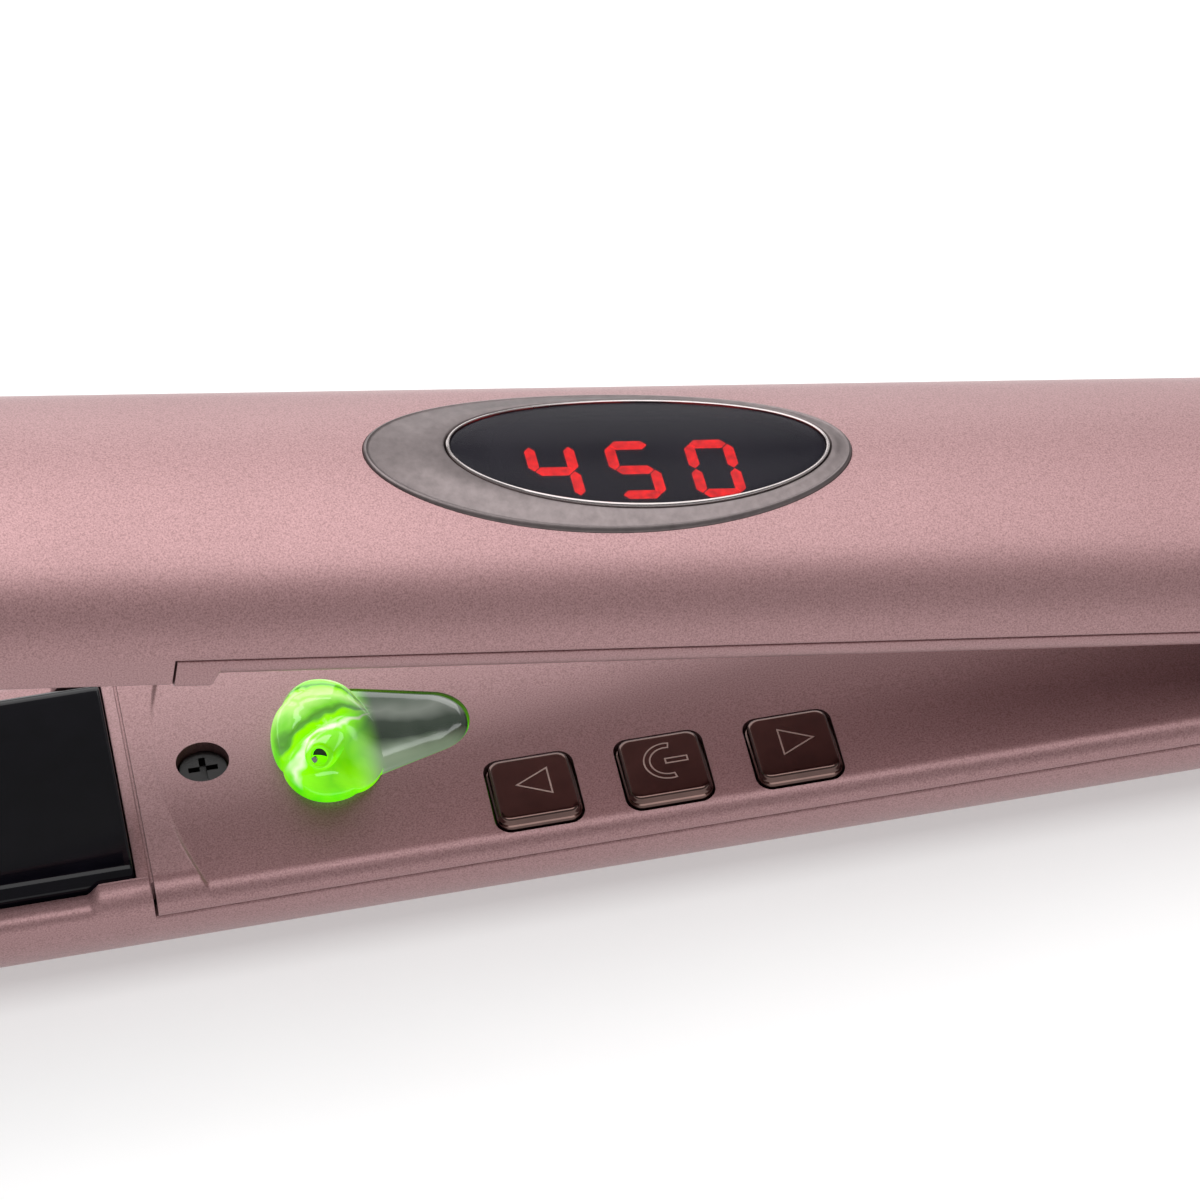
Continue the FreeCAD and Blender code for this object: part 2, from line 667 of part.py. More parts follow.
def egg_outline(sketch, grow):
    """Egg-shaped outline in plan, its wide end towards the tips."""
    big = D.ion_big_r + grow
    small = D.ion_small_r + grow
    apart = D.ion_big_x - D.ion_small_x
    lean = (D.ion_big_r - D.ion_small_r) / apart
    # cosine of the tangent line's lean, from a short series that is exact enough here
    level = 1 - lean * lean / 2 - lean * lean * lean * lean / 8
    big_x = -D.ion_big_x + big * lean
    small_x = -D.ion_small_x + small * lean
    middle = D.ion_y
    return outline(sketch, [
        (big_x, middle + big * level, big, 1),
        (-D.ion_big_x - big, middle, big, 1),
        (big_x, middle - big * level),
        (small_x, middle - small * level, small, 1),
        (small_x, middle + small * level),
    ])


def egg_prism(name, grow, low, high):
    body = new_body(name)
    sketch = sketch_on(body, f"{name}_outline", "XY", low)
    egg_outline(sketch, size(grow))
    pad(body, f"{name}_pad", sketch, size(high) - low)
    return body


def button_prism(name, place, half, corner, low, high):
    """Square prism with rounded corners around one button's axis."""
    body = new_body(name)
    sketch = sketch_on(body, f"{name}_outline", "XY", low)
    x, y = -size(place), -D.button_y
    half, corner = size(half), size(corner)
    outline(sketch, [
        (x + half, y - half + corner),
        (x + half, y + half - corner, corner, 1),
        (x + half - corner, y + half),
        (x - half + corner, y + half, corner, 1),
        (x - half, y + half - corner),
        (x - half, y - half + corner, corner, 1),
        (x - half + corner, y - half),
        (x + half - corner, y - half, corner, 1),
    ])
    feature = pad(body, f"{name}_pad", sketch, size(high) - low)
    return body, feature


BUTTONS = {
    "temp_down_button": D.button_mid + D.button_pitch,
    "power_button": D.button_mid,
    "temp_up_button": D.button_mid - D.button_pitch,
}


def lower_inner_cover():
    posts, holes = cover_parts(LOWER)
    whole = fuse("lower_cover_posts", cover_blank(LOWER), *posts)
    for name, place in BUTTONS.items():
        opening, feature = button_prism(f"{name}_opening", place, D.button_half + D.button_gap,
                                        D.button_corner + D.button_gap, -D.seam - 1, size(1.0))
        holes.append(opening)
    holes.append(egg_prism("ion_opening", 0.12, -D.seam - 1, size(1.0)))
    keep("lower_inner_cover", cut("lower_inner_cover", whole, *holes), LOWER)


def upper_inner_cover():
    """Upper cover, with a cup for the ion bulb and notches where the housing rim reaches on."""
    posts, holes = cover_parts(UPPER)
    start = D.cover_top + 0.5
    cup = rod("ion_cup", "z", (-D.bulb_x, -D.bulb_y, start), D.cup_radius + D.cup_skin * 1.5,
              D.cup_depth + D.cup_skin - start)
    cup_room = rod("ion_cup_room", "z", (-D.bulb_x, -D.bulb_y, 0), D.cup_radius, D.cup_depth)
    cup_crop = box("ion_cup_crop", (-D.cover_end + 1, -60), (-14, 14), (0, 8))
    whole = fuse("upper_cover_posts", cover_blank(UPPER), common("ion_cup_wall", cup, cup_crop),
                 *posts)
    inner = D.half_width - D.wall - D.rim_clear
    notch_x = (-D.cover_end - 1, -D.cover_end + D.rim_overlap + D.rim_clear)
    notches = [box("rim_notch_left", notch_x, (inner, D.half_width + 1), (0, D.seam + 1)),
               box("rim_notch_right", notch_x, (-D.half_width - 1, -inner), (0, D.seam + 1))]
    keep("upper_inner_cover", cut("upper_inner_cover", whole, cup_room, *notches, *holes), UPPER)


# ---------------------------------------------------------------- heater plates

def plate_stack(arm):
    """Plate frame, floating plate, heater, clamp, cushions and sensor of one arm."""
    tag = side_name(arm)
    far, near = -D.plate_far, -D.plate_near
    body = new_body(f"{tag}_plate")
    section = sketch_on(body, f"{tag}_plate_outline", "YZ", far)
    top, base = arm * D.plate_gap, arm * (D.plate_gap + D.plate_thick)
    rail = arm * D.rail_depth
    curve = arm * (D.plate_gap + D.plate_round)
    half = D.plate_half
    outline(section, [
        (half, base), (half, curve, D.plate_round, -arm), (half - D.plate_round, top),
        (-half + D.plate_round, top, D.plate_round, -arm), (-half, curve), (-half, base),
        (-D.rail_outer, base), (-D.rail_outer, rail), (-D.rail_inner, rail),
        (-D.rail_inner, base), (D.rail_inner, base), (D.rail_inner, rail),
        (D.rail_outer, rail), (D.rail_outer, base),
    ])
    pad(body, f"{tag}_plate_pad", section, near - far)
    trim_z = span(arm, D.plate_gap + D.plate_thick, D.rail_depth + 1)
    trims = [box(f"{tag}_rail_trim_far", (far - 1, far + D.rail_inset), (-half, half), trim_z),
             box(f"{tag}_rail_trim_near", (near - D.rail_inset, near + 1), (-half, half), trim_z)]
    keep(f"{tag}_plate", cut(f"{tag}_plate", body, *trims), arm)

    middle = (far + near) / 2
    under = D.plate_gap + D.plate_thick
    heater = box(f"{tag}_heater", (middle - D.heater_half, middle + D.heater_half),
                 (-D.heater_wide, D.heater_wide),
                 span(arm, under + 0.02, under + D.heater_thick))
    keep(f"{tag}_heater", heater, arm)
    clamp_z = span(arm, under + D.heater_thick + 0.02,
                   under + D.heater_thick + D.clamp_thick)
    clamp_bar = box(f"{tag}_clamp_bar", (middle - D.heater_half + 1, middle + D.heater_half - 1),
                    (-D.clamp_half, D.clamp_half), clamp_z)
    clamp_feet = [box(f"{tag}_clamp_foot{step + 1}",
                      (middle + D.clamp_pitch * step - D.clamp_foot,
                       middle + D.clamp_pitch * step + D.clamp_foot),
                      (-D.rail_inner + 0.05, D.rail_inner - 0.05), clamp_z)
                  for step in (-1, 0, 1)]
    keep(f"{tag}_heater_clamp", fuse(f"{tag}_heater_clamp", clamp_bar, *clamp_feet), arm)
    sensor = rod(f"{tag}_thermistor", "x",
                 (middle + D.heater_half + D.sensor_gap, 0, arm * (under + D.sensor_radius + 0.1)),
                 D.sensor_radius, D.sensor_long)
    keep(f"{tag}_thermistor", sensor, arm)

    tray_far, tray_near = far - 0.3, near + 0.1
    tray = box(f"{tag}_tray", (tray_far, tray_near), (-D.frame_outer, D.frame_outer),
               span(arm, D.frame_top, D.frame_base))
    room = box(f"{tag}_tray_room", (tray_far + D.frame_wall, tray_near - D.frame_wall),
               (-D.frame_inner, D.frame_inner), span(arm, D.frame_top - 1, D.frame_floor))
    wire_slot = box(f"{tag}_wire_slot", (near - 2, near + 2), (-D.lead_room, D.lead_room),
                    span(arm, D.lead_level - D.lead_radius - 0.3, D.frame_floor))
    crop = new_body(f"{tag}_tray_crop")
    crop_section = sketch_on(crop, f"{tag}_tray_crop_section", "YZ", far - 5)
    arm_section(crop_section, arm, 0.0, D.wall + 0.1)
    pad(crop, f"{tag}_tray_crop_pad", crop_section, near - far + 10)
    frame = cut(f"{tag}_plate_frame", common(f"{tag}_tray_shape", tray, crop), room, wire_slot)
    keep(f"{tag}_plate_frame", frame, arm)

    low, high = span(arm, under, D.frame_floor)
    cushions = [rod(f"{tag}_cushion{i}{j}", "z", (x, y, low), D.cushion_radius, high - low)
                for i, x in enumerate((far + D.cushion_inset, near - D.cushion_inset))
                for j, y in enumerate((-D.cushion_y, D.cushion_y))]
    keep(f"{tag}_plate_cushions", group(f"{tag}_plate_cushions", *cushions), arm)


def heater_leads(arm):
    """Two insulated wires from the sensor end of the heater into the handle."""
    tag = side_name(arm)
    wires = [rod(f"{tag}_lead{i}", "x", (-D.plate_near - 3, y, arm * D.lead_level),
                 D.lead_radius, D.lead_long) for i, y in enumerate((-D.lead_y, D.lead_y))]
    keep(f"{tag}_heater_leads", group(f"{tag}_heater_leads", *wires), arm)


# ---------------------------------------------------------------- fasteners

def cross_screw(name, x, y, z_head, arm, shank):
    """Pan-head screw whose head faces the meeting plane, with a cross recess."""
    head_low, head_high = span(arm, z_head, size(z_head) + D.head_high)
    shank_low, shank_high = span(arm, z_head, size(z_head) + D.head_high + shank)
    head = rod(f"{name}_head", "z", (x, y, head_low), D.screw_head, D.head_high)
    stem = rod(f"{name}_stem", "z", (x, y, shank_low), D.screw_shank, shank_high - shank_low)
    whole = fuse(f"{name}_blank", head, stem)
    slot_low, slot_high = span(arm, size(z_head) - 0.5, size(z_head) + D.slot_deep)
    long, thin = D.slot_half, D.slot_thin
    slots = [
        box(f"{name}_slot_x", (size(x) - long, size(x) + long), (size(y) - thin, size(y) + thin),
            (slot_low, slot_high)),
        box(f"{name}_slot_y", (size(x) - thin, size(x) + thin), (size(y) - long, size(y) + long),
            (slot_low, slot_high)),
    ]
    return cut(name, whole, *slots)


def cover_screws(arm):
    tag = side_name(arm)
    head = D.cover_top + D.screw_sink - 0.6
    screws = [cross_screw(f"{tag}_cover_screw{i}", -place, 0, head, arm, D.cover_shank)
              for i, place in enumerate((D.screw_front, D.screw_rear))]
    keep(f"{tag}_cover_screws", group(f"{tag}_cover_screws", *screws), arm)


# ---------------------------------------------------------------- controls

BOARD_POSTS = [(-116.5, 4.0), (-66.0, 4.0)]


def board_posts():
    floor = D.board_top + D.board_thick
    low, high = -boss_floor(0.6), -floor
    return [rod(f"board_post{i}", "z", (x, y, low), 2.4, high - low)
            for i, (x, y) in enumerate(BOARD_POSTS)]


def board_pilots():
    floor = D.board_top + D.board_thick
    return [rod(f"board_pilot{i}", "z", (x, y, -floor - 3.6), 0.8, 4.0)
            for i, (x, y) in enumerate(BOARD_POSTS)]


def controls():
    """Buttons, their switches, the control board and its larger components."""
    switches = []
    for name, place in BUTTONS.items():
        cap, feature = button_prism(f"{name}_cap", place, D.button_half, D.button_corner,
                                    -D.button_bottom, -D.button_top)

        def top_edge(edge):
            return all(abs(v.Z + D.button_top.value) < 1e-4 for v in edge.Vertexes)

        dress(cap, f"{name}_bevel", "Chamfer", feature, D.button_bevel, top_edge)
        stem = rod(f"{name}_stem", "z", (-place, -D.button_y, -D.stem_start), D.stem_radius,
                   D.stem_radius)
        keep(name, fuse(name, cap, stem), name)
        x, y = -place, -D.button_y
        half = D.switch_half
        case = box(f"{name}_switch", (x - half, x + half), (y - half, y + half),
                   (-D.board_top, -D.board_top + D.switch_thick))
        plunger = rod(f"{name}_plunger", "z", (x, y, -D.board_top), D.plunger_radius,
                      D.plunger_high)
        switches.append(fuse(f"{name}_switch_whole", case, plunger))
    keep("button_switches", group("button_switches", *switches), LOWER)

    floor = D.board_top + D.board_thick
    plank = box("board_plank", (-D.board_far, -D.board_near), (-D.board_half, D.board_half),
                (-floor, -D.board_top))
    notch = box("board_ion_notch", (-121, -109), (-13, 2), (-floor - 1, 0))
    pilots = [rod(f"board_hole{i}", "z", (x, y, -floor - 1), D.post_hole, 4)
              for i, (x, y) in enumerate(BOARD_POSTS)]
    keep("control_board", cut("control_board", plank, notch, *pilots), LOWER)
    screws = []
    for index, (x, y) in enumerate(BOARD_POSTS):
        head = rod(f"board_screw_head{index}", "z", (x, y, -D.board_top), D.small_head,
                   D.head_thick)
        stem = rod(f"board_screw_stem{index}", "z", (x, y, -floor - D.shank_reach),
                   D.small_shank, D.shank_reach + D.board_thick + 0.2)
        screws.append(fuse(f"board_screw{index}", head, stem))
    keep("board_screws", group("board_screws", *screws), LOWER)
    capacitor = rod("supply_capacitor", "x",
                    (-D.capacitor_x, D.capacitor_y, -floor - D.capacitor_radius - 0.1),
                    D.capacitor_radius, D.capacitor_long)
    keep("supply_capacitor", capacitor, LOWER)
    triac = box("heater_triac", (-100, -90), (-7, -1), (-floor - 3.4, -floor - 0.05))
    keep("heater_triac", triac, LOWER)


TUBE_ROOT = FreeCAD.Vector(-126.0, -2.6, 0.6)
TUBE_AIM = FreeCAD.Vector(-0.35, -0.8, 0.62)


def along_tube(name, radius, start, length):
    """A round rod on the ion tube's own axis."""
    turn = FreeCAD.Rotation(FreeCAD.Vector(0, 0, 1), TUBE_AIM)
    item = doc.addObject("Part::Cylinder", name)
    bind(item, "Radius", radius)
    bind(item, "Height", length)
    item.Placement = FreeCAD.Placement(
        TUBE_ROOT + turn.multVec(FreeCAD.Vector(0, 0, start)), turn)
    return item


def ion_group():
    """Ion outlet, its emitter needle, its lamp and the high-voltage block."""
    flush = egg_prism("ion_window", 0.0, -D.window_base, -D.window_top)
    bulb = doc.addObject("Part::Ellipsoid", "ion_bulb")
    bind(bulb, "Radius1", D.bulb_rise)
    bind(bulb, "Radius2", D.bulb_length)
    bind(bulb, "Radius3", D.bulb_width)
    for letter, amount in zip("xyz", (-D.bulb_x, -D.bulb_y, -D.window_top - 0.05)):
        bind(bulb, f"Placement.Base.{letter}", amount)
    below = box("ion_below", (-150, -100), (-20, 20), (-20, -D.window_top))
    tube = along_tube("ion_tube", D.tube_radius, 0.0, D.tube_length)
    bore = along_tube("ion_bore", D.tube_bore, 0.8, 6.0)
    needle = along_tube("ion_needle_rod", D.needle_radius, 0.8, 2.4)
    whole = fuse("ion_whole", flush, cut("ion_bulb_top", bulb, below), tube)
    keep("ion_outlet", cut("ion_outlet", whole, bore), LOWER)
    keep("ion_needle", needle, LOWER)
    lamp = rod("ion_lamp_body", "z", (-D.lamp_x, 0, -D.lamp_base), D.lamp_radius,
               D.lamp_base - D.lamp_top)
    dome = doc.addObject("Part::Sphere", "ion_lamp_dome")
    bind(dome, "Radius", D.lamp_radius - 0.05)
    bind(dome, "Placement.Base.x", -D.lamp_x)
    bind(dome, "Placement.Base.z", -D.lamp_top - 0.55)
    keep("ion_lamp", fuse("ion_lamp", lamp, dome), LOWER)
    block = box("ion_generator", (-133.5, -122), (-8, 8), (-10.2, -5.4))
    keep("ion_generator", block, LOWER)


# ---------------------------------------------------------------- display

def bezel_prism(name, half_long, half_wide, x=None, y=0.0):
    """Oval prism through the upper arm's back, about the bezel's own centre by default."""
    body = new_body(name)
    sketch = sketch_on(body, f"{name}_outline", "XY", size(6.0))
    ellipse_outline(sketch, -(x if x is not None else D.bezel_x), size(y), half_long, half_wide)
    pad(body, f"{name}_pad", sketch, 14)
    return body


def crown_layer(name, inner, outer):
    """A layer that follows the upper arm's crown, between two offsets from its surface."""
    flat = D.half_width - D.shoulder
    rise = D.arm_depth - D.shoulder
    drop = (flat * flat - rise * rise) / (rise * 2)
    radius = drop + D.arm_depth
    centre = D.seam - drop
    solid = rod(f"{name}_solid", "x", (-130, 0, centre), radius + outer, 60)
    core = rod(f"{name}_core", "x", (-131, 0, centre), radius + inner, 62)
    return cut(name, solid, core)


SEGMENTS = {"4": "bcfg", "5": "acdfg", "0": "abcdef"}


def segment_outline(sketch, x, y, across):
    """One bar of a seven-segment digit, a long hexagon."""
    reach = D.digit_wide - D.digit_stroke if across else (D.digit_high - D.digit_stroke) / 2
    half = reach / 2 - D.digit_gap
    thin = D.digit_stroke / 2
    shape = [(half, 0), (half - thin, thin), (-half + thin, thin), (-half, 0),
             (-half + thin, -thin), (half - thin, -thin)]
    if not across:
        shape = [(-b, a) for a, b in shape]
    outline(sketch, [(x + a, y + b) for a, b in shape])


def display():
    """Oval bezel, ring, smoked lens, and the lit number module behind it."""
    bezel = common("bezel_blank", bezel_prism("bezel_oval", D.bezel_long - 0.15,
                                              D.bezel_wide - 0.15),
                   crown_layer("bezel_layer", size(-1.8), D.bezel_proud))
    ring_hole = bezel_prism("bezel_opening", D.lens_long + D.ring_width + 0.05,
                            D.lens_wide + D.ring_width + 0.05, D.lens_x, D.lens_y)
    keep("display_bezel", cut("display_bezel", bezel, ring_hole), UPPER)
    ring = common("ring_blank", bezel_prism("ring_oval", D.lens_long + D.ring_width,
                                            D.lens_wide + D.ring_width, D.lens_x,
                                            D.lens_y),
                  crown_layer("ring_layer", size(-1.4), D.bezel_proud + 0.08))
    lens_hole = bezel_prism("ring_opening", D.lens_long + 0.03, D.lens_wide + 0.03, D.lens_x,
                            D.lens_y)
    keep("display_trim_ring", cut("display_trim_ring", ring, lens_hole), UPPER)
    lens = common("display_lens", bezel_prism("lens_oval", D.lens_long, D.lens_wide, D.lens_x,
                                              D.lens_y),
                  crown_layer("lens_layer", size(-1.0), D.bezel_proud - 0.1))
    keep("display_lens", lens, UPPER)

    module = box("display_module", (-D.digit_x - D.module_half, -D.digit_x + D.module_half),
                 (-D.module_wide, D.module_wide), (D.module_base, D.module_face))
    keep("display_module", module, UPPER)
    body = new_body("display_digits")
    sketch = sketch_on(body, "digit_segments", "XY", D.module_face)
    row = (D.digit_high - D.digit_stroke) / 2
    side = (D.digit_wide - D.digit_stroke) / 2
    bars = {"a": (0, row, True), "b": (side, row / 2, False), "c": (side, -row / 2, False),
            "d": (0, -row, True), "e": (-side, -row / 2, False), "f": (-side, row / 2, False),
            "g": (0, 0, True)}
    for index, figure in enumerate("450"):
        centre = -D.digit_x + D.digit_pitch * (index - 1)
        for bar in SEGMENTS[figure]:
            x, y, across = bars[bar]
            segment_outline(sketch, centre + x, size(y) - D.digit_y, across)
    pad(body, "digit_pad", sketch, D.digit_thick)
    keep("display_digits", body, UPPER)

    board = box("display_board_plank", (-D.panel_far, -D.panel_near),
                (-D.panel_half, D.panel_half), (D.panel_base, D.panel_top))
    posts = [-D.panel_screw_far, -D.panel_screw_near]
    below = D.panel_base - D.head_thick
    holes = [rod(f"display_board_hole{i}", "z", (x, 0, below), D.post_hole, 5)
             for i, x in enumerate(posts)]
    keep("display_board", cut("display_board", board, *holes), UPPER)
    screws = []
    for index, x in enumerate(posts):
        head = rod(f"display_screw_head{index}", "z", (x, 0, below), D.small_head, D.head_thick)
        stem = rod(f"display_screw_stem{index}", "z", (x, 0, below + 0.1), D.small_shank,
                   D.panel_shank)
        screws.append(fuse(f"display_screw{index}", head, stem))
    keep("display_board_screws", group("display_board_screws", *screws), UPPER)


# ---------------------------------------------------------------- hinge and tail

def hinge():
    """Pin, washers, torsion spring, end caps, cord gland and its retainer."""
    keep("hinge_pin", rod("hinge_pin", "y", (0, -D.pin_half, 0), D.pin_radius, D.pin_half * 2),
         UPPER)
    caps = [rod("hinge_cap_left", "y", (0, D.half_width - D.cap_depth, 0), D.cap_radius - 0.05,
                D.cap_depth),
            rod("hinge_cap_right", "y", (0, -D.half_width, 0), D.cap_radius - 0.05,
                D.cap_depth)]
    keep("hinge_caps", group("hinge_caps", *caps), UPPER)
    disc = rod("washer_disc", "y", (0, D.knuckle_half + 0.05, 0), D.washer_radius,
               D.washer_thick)
    hole = rod("washer_hole", "y", (0, D.knuckle_half - 1, 0), D.pin_radius + D.pin_fit, 3)
    keep("hinge_washer", cut("hinge_washer", disc, hole), LOWER)

    spring = doc.addObject("Part::Feature", "hinge_spring")
    radius, wire = D.coil_radius.value, D.coil_wire.value
    pitch = wire * 2 + 0.06
    helix = Part.makeHelix(pitch, pitch * D.coil_turns.value, radius)
    profile = Part.Wire([Part.makeCircle(wire, FreeCAD.Vector(radius, 0, 0),
                                         FreeCAD.Vector(0, 1, 0))])
    coil = Part.Wire(helix.Edges).makePipeShell([profile], True, True)
    leg_length = D.leg_length.value
    leg = Part.makeCylinder(wire, leg_length,
                            FreeCAD.Vector(radius, 0, -leg_length + wire * 0.2))
    coil = coil.fuse(leg)
    turn = FreeCAD.Rotation(FreeCAD.Vector(1, 0, 0), -90)
    flip = FreeCAD.Rotation(FreeCAD.Vector(0, 1, 0), 180)
    spring.Shape = coil
    spring.Placement = FreeCAD.Placement(
        FreeCAD.Vector(0, -D.knuckle_half.value + 0.7, 0), flip.multiply(turn))
    keep("hinge_spring", spring, LOWER)

    front = D.gland_front
    flange = rod("gland_flange_disc", "x", (front, 0, 0), D.gland_flange, D.flange_thick)
    neck = rod("gland_neck_rod", "x", (front, 0, 0), D.gland_neck, D.gland_tail - front - 0.5)
    collar = rod("gland_collar_disc", "x", (D.collar_front, 0, 0), D.gland_collar,
                 D.gland_tail - D.collar_front)
    bore = rod("gland_bore", "x", (front - 1, 0, 0), D.cord_bore, 20)
    keep("swivel_gland", cut("swivel_gland", fuse("gland_whole", flange, neck, collar), bore),
         "swivel_gland")
    ring = rod("retainer_disc", "x", (front + D.flange_thick + 0.15, 0, 0),
               D.gland_flange + 0.3, D.retainer_thick)
    hole = rod("retainer_hole", "x", (front + 1, 0, 0), D.gland_neck + D.gland_fit, 6)
    keep("swivel_retainer", cut("swivel_retainer", ring, hole), LOWER)


# ---------------------------------------------------------------- the assembly

lower_housing()
upper_housing()
lower_inner_cover()
upper_inner_cover()
for which in (LOWER, UPPER):
    plate_stack(which)
    heater_leads(which)
    cover_screws(which)
controls()
ion_group()
display()
hinge()
doc.recompute()

# The hinge stands half-way between the tip and the gland's end from the origin, and as high
# above the ground as the lower arm is deep below the meeting plane.
hinge_x = (DIMENSIONS["tip"] - DIMENSIONS["gland_tail"]) / 2
hinge_z = DIMENSIONS["seam"] + DIMENSIONS["arm_depth"] - DIMENSIONS["rest_land"]
home = FreeCAD.Vector(hinge_x, 0, hinge_z)
swing = FreeCAD.Rotation(FreeCAD.Vector(0, 1, 0), DIMENSIONS["open_angle"])
for name, (item, arm) in nodes.items():
    rotation = swing if arm == UPPER else FreeCAD.Rotation()
    item.Placement = FreeCAD.Placement(home, rotation).multiply(item.Placement)
doc.recompute()

faults = [f"{item.Name}: {item.State}" for item in doc.Objects
          if "Invalid" in item.State or "Error" in item.State]
for name, (item, arm) in nodes.items():
    shape = item.Shape
    if shape.isNull() or not shape.isValid() or not shape.Solids:
        faults.append(f"{name}: bad shape")
    elif min(solid.Volume for solid in shape.Solids) <= 0:
        faults.append(f"{name}: volume")
if faults:
    print("\n".join(faults))
    sys.exit("the model has faults")

for name, (item, arm) in nodes.items():
    item.Shape.exportStep(f"parts/{name}.step")
    shape = item.Shape
    limits = shape.BoundBox
    print(f"{name:24s} solids {len(shape.Solids)} volume {shape.Volume:9.1f} "
          f"x {limits.XMin:7.1f} {limits.XMax:7.1f} y {limits.YMin:6.1f} {limits.YMax:6.1f} "
          f"z {limits.ZMin:6.1f} {limits.ZMax:6.1f}")
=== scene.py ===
import json
import math

import bmesh
import bpy
import numpy as np
from mathutils import Matrix, Vector


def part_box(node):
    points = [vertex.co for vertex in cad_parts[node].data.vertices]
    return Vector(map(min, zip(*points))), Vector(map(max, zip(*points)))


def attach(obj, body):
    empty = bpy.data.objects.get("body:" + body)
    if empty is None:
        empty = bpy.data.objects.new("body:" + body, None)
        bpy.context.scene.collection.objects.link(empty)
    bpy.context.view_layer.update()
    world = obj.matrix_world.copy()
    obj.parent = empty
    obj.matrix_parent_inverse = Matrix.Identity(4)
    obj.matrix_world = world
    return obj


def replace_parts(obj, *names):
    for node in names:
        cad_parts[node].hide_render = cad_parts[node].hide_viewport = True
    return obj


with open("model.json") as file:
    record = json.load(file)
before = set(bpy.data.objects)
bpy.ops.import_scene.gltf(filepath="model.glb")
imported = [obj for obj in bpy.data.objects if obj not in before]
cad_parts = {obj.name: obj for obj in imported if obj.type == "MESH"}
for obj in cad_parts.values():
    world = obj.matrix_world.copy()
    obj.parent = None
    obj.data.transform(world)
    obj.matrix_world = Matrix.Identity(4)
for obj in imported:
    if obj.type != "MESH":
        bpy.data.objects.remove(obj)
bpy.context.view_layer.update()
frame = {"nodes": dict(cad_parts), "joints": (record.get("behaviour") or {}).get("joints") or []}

# ---------------------------------------------------------------- sizes, in millimetres
# An arm's own frame starts at the hinge: the tips are towards -x, and a depth is the distance
# from the plane where the arms meet, so the lower arm's z is minus its depth.

MM = 0.001
LOWER = -1
UPPER = 1
BUTTONS = ("temp_down_button", "power_button", "temp_up_button")
SHARP = 35.0  # degrees between faces, above which their edge is sharp

# housings: the rim's depth is NOSE_RIM, or LOWER_RIM beside the lower plate up to its step
HALF_WIDTH = 16.0
SEAM = 4.0
DEPTH = 10.5  # from the seam to the outside
SHOULDER = 9.0
WALL = 1.8
REST_LAND = 0.4  # cut off the lower arm's underside, to lie on
NOSE_ROUND = 6.0
NOSE_LENGTH = 11.5
NOSE_RIM = 1.0
LOWER_RIM = 1.8
RIM_INNER = 13.5
RIM_ROUND = 0.3
BED_ROUND = 1.4
BED_MIDDLE = -200.0
HANDLE_MIDDLE = -60.0
STEP_FAR, STEP_NEAR = -150.7, -149.3

# inner covers, with a raised land at their plate end
COVER_TOP = 0.6  # depth of the crown's middle
COVER_SIDE = 0.7  # height of the upright side above the seam
COVER_SHOULDER = 1.9
COVER_SKIN = 1.5
GROOVE = 0.34  # height of the rounding at the cover's foot, which leaves a groove at the seam
LAND_TOP = 0.7
LAND_ROUND = 2.5
LAND_END = -136.5
TAB_ROUND = 0.4
RIM_REACH = 1.35  # how far the upper housing's rim runs past the cover's end
CREASE = -139.0
CREASE_BOW = 3.0
SCREW_AT = -137.4
SCREW_RECESS = 2.6
BUTTON_HOLE = (4.42, 1.5)  # half width, corner radius
BULB_DISH = (-125.2, -0.6, 8.2)  # x, y, radius of the upper cover's room for the ion bulb

# hinge and tail
KNUCKLE = 9.5
KNUCKLE_GAP = 0.4
BARREL = 14.0
BARREL_GAP = 0.6
SHELL_END = 7.0
PIN_BORE = 2.08
SPRING_ROOM, SPRING_DEPTH = 6.4, 6.0
CAP_ROOM, CAP_DEPTH = 7.0, 1.2
GLAND_ROOM, GLAND_START = 5.6, 7.8
PAST_SIDE = 20.0  # beyond every outside face, for cuts that run out of it

# heater plates
PLATE_THICK = 3.3
PLATE_EDGE = 2.0
RAIL_INNER, RAIL_OUTER, RAIL_DEPTH = 9.5, 11.0, 5.9

# display: each oval is (x, y, half length, half width)
OUTER_OVAL = (-100.7, 0.0, 23.6, 9.45)
LENS_OVAL = (-97.8, 0.4, 18.2, 7.1)
WINDOW_GAP = 0.05

# ion outlet: each fold of its bulb is (middle, width) in degrees about the apex
APEX = (-119.8, 3.2)
FOLDS = [(142.0, 60.0), (191.0, 42.0), (232.0, 42.0), (268.0, 34.0)]
HEART = (-125.1, -0.4)
BULB_REACH = (5.5, 7.5)
BULB_HEIGHT = 3.6
NOZZLE_ROOT = (-125.2, -1.9, 0.4)
NOZZLE_AIM = (-0.35, -0.8, 0.62)
# radius of the black sleeve that paints the shade inside the nozzle's bore
BORE_SHADE_RADIUS = 0.74

hinge_joint = next(j for j in frame["joints"] if j["name"] == "arm_hinge")
HINGE = np.array(hinge_joint["pos_m"]) / MM
OPEN = math.radians(-hinge_joint["range_deg"][0])


def box_mm(node):
    """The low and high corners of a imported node, in millimetres."""
    low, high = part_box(node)
    return np.array(low) / MM, np.array(high) / MM


# Distances behind the hinge of the things that the lower arm carries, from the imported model.
plate_low, plate_high = box_mm("lower_plate")
PLATE_FAR = HINGE[0] - plate_low[0]
PLATE_NEAR = HINGE[0] - plate_high[0]
PLATE_HALF = plate_high[1]
PLATE_GAP = HINGE[2] - plate_high[2]
cover_low, cover_high = box_mm("lower_inner_cover")
COVER_END = HINGE[0] - cover_low[0]
COVER_TAIL = HINGE[0] - cover_high[0]
TIP = HINGE[0] - box_mm("lower_housing")[0][0]
NOSE_BACK = TIP - NOSE_LENGTH
STRIP_NEAR = COVER_END + 0.3


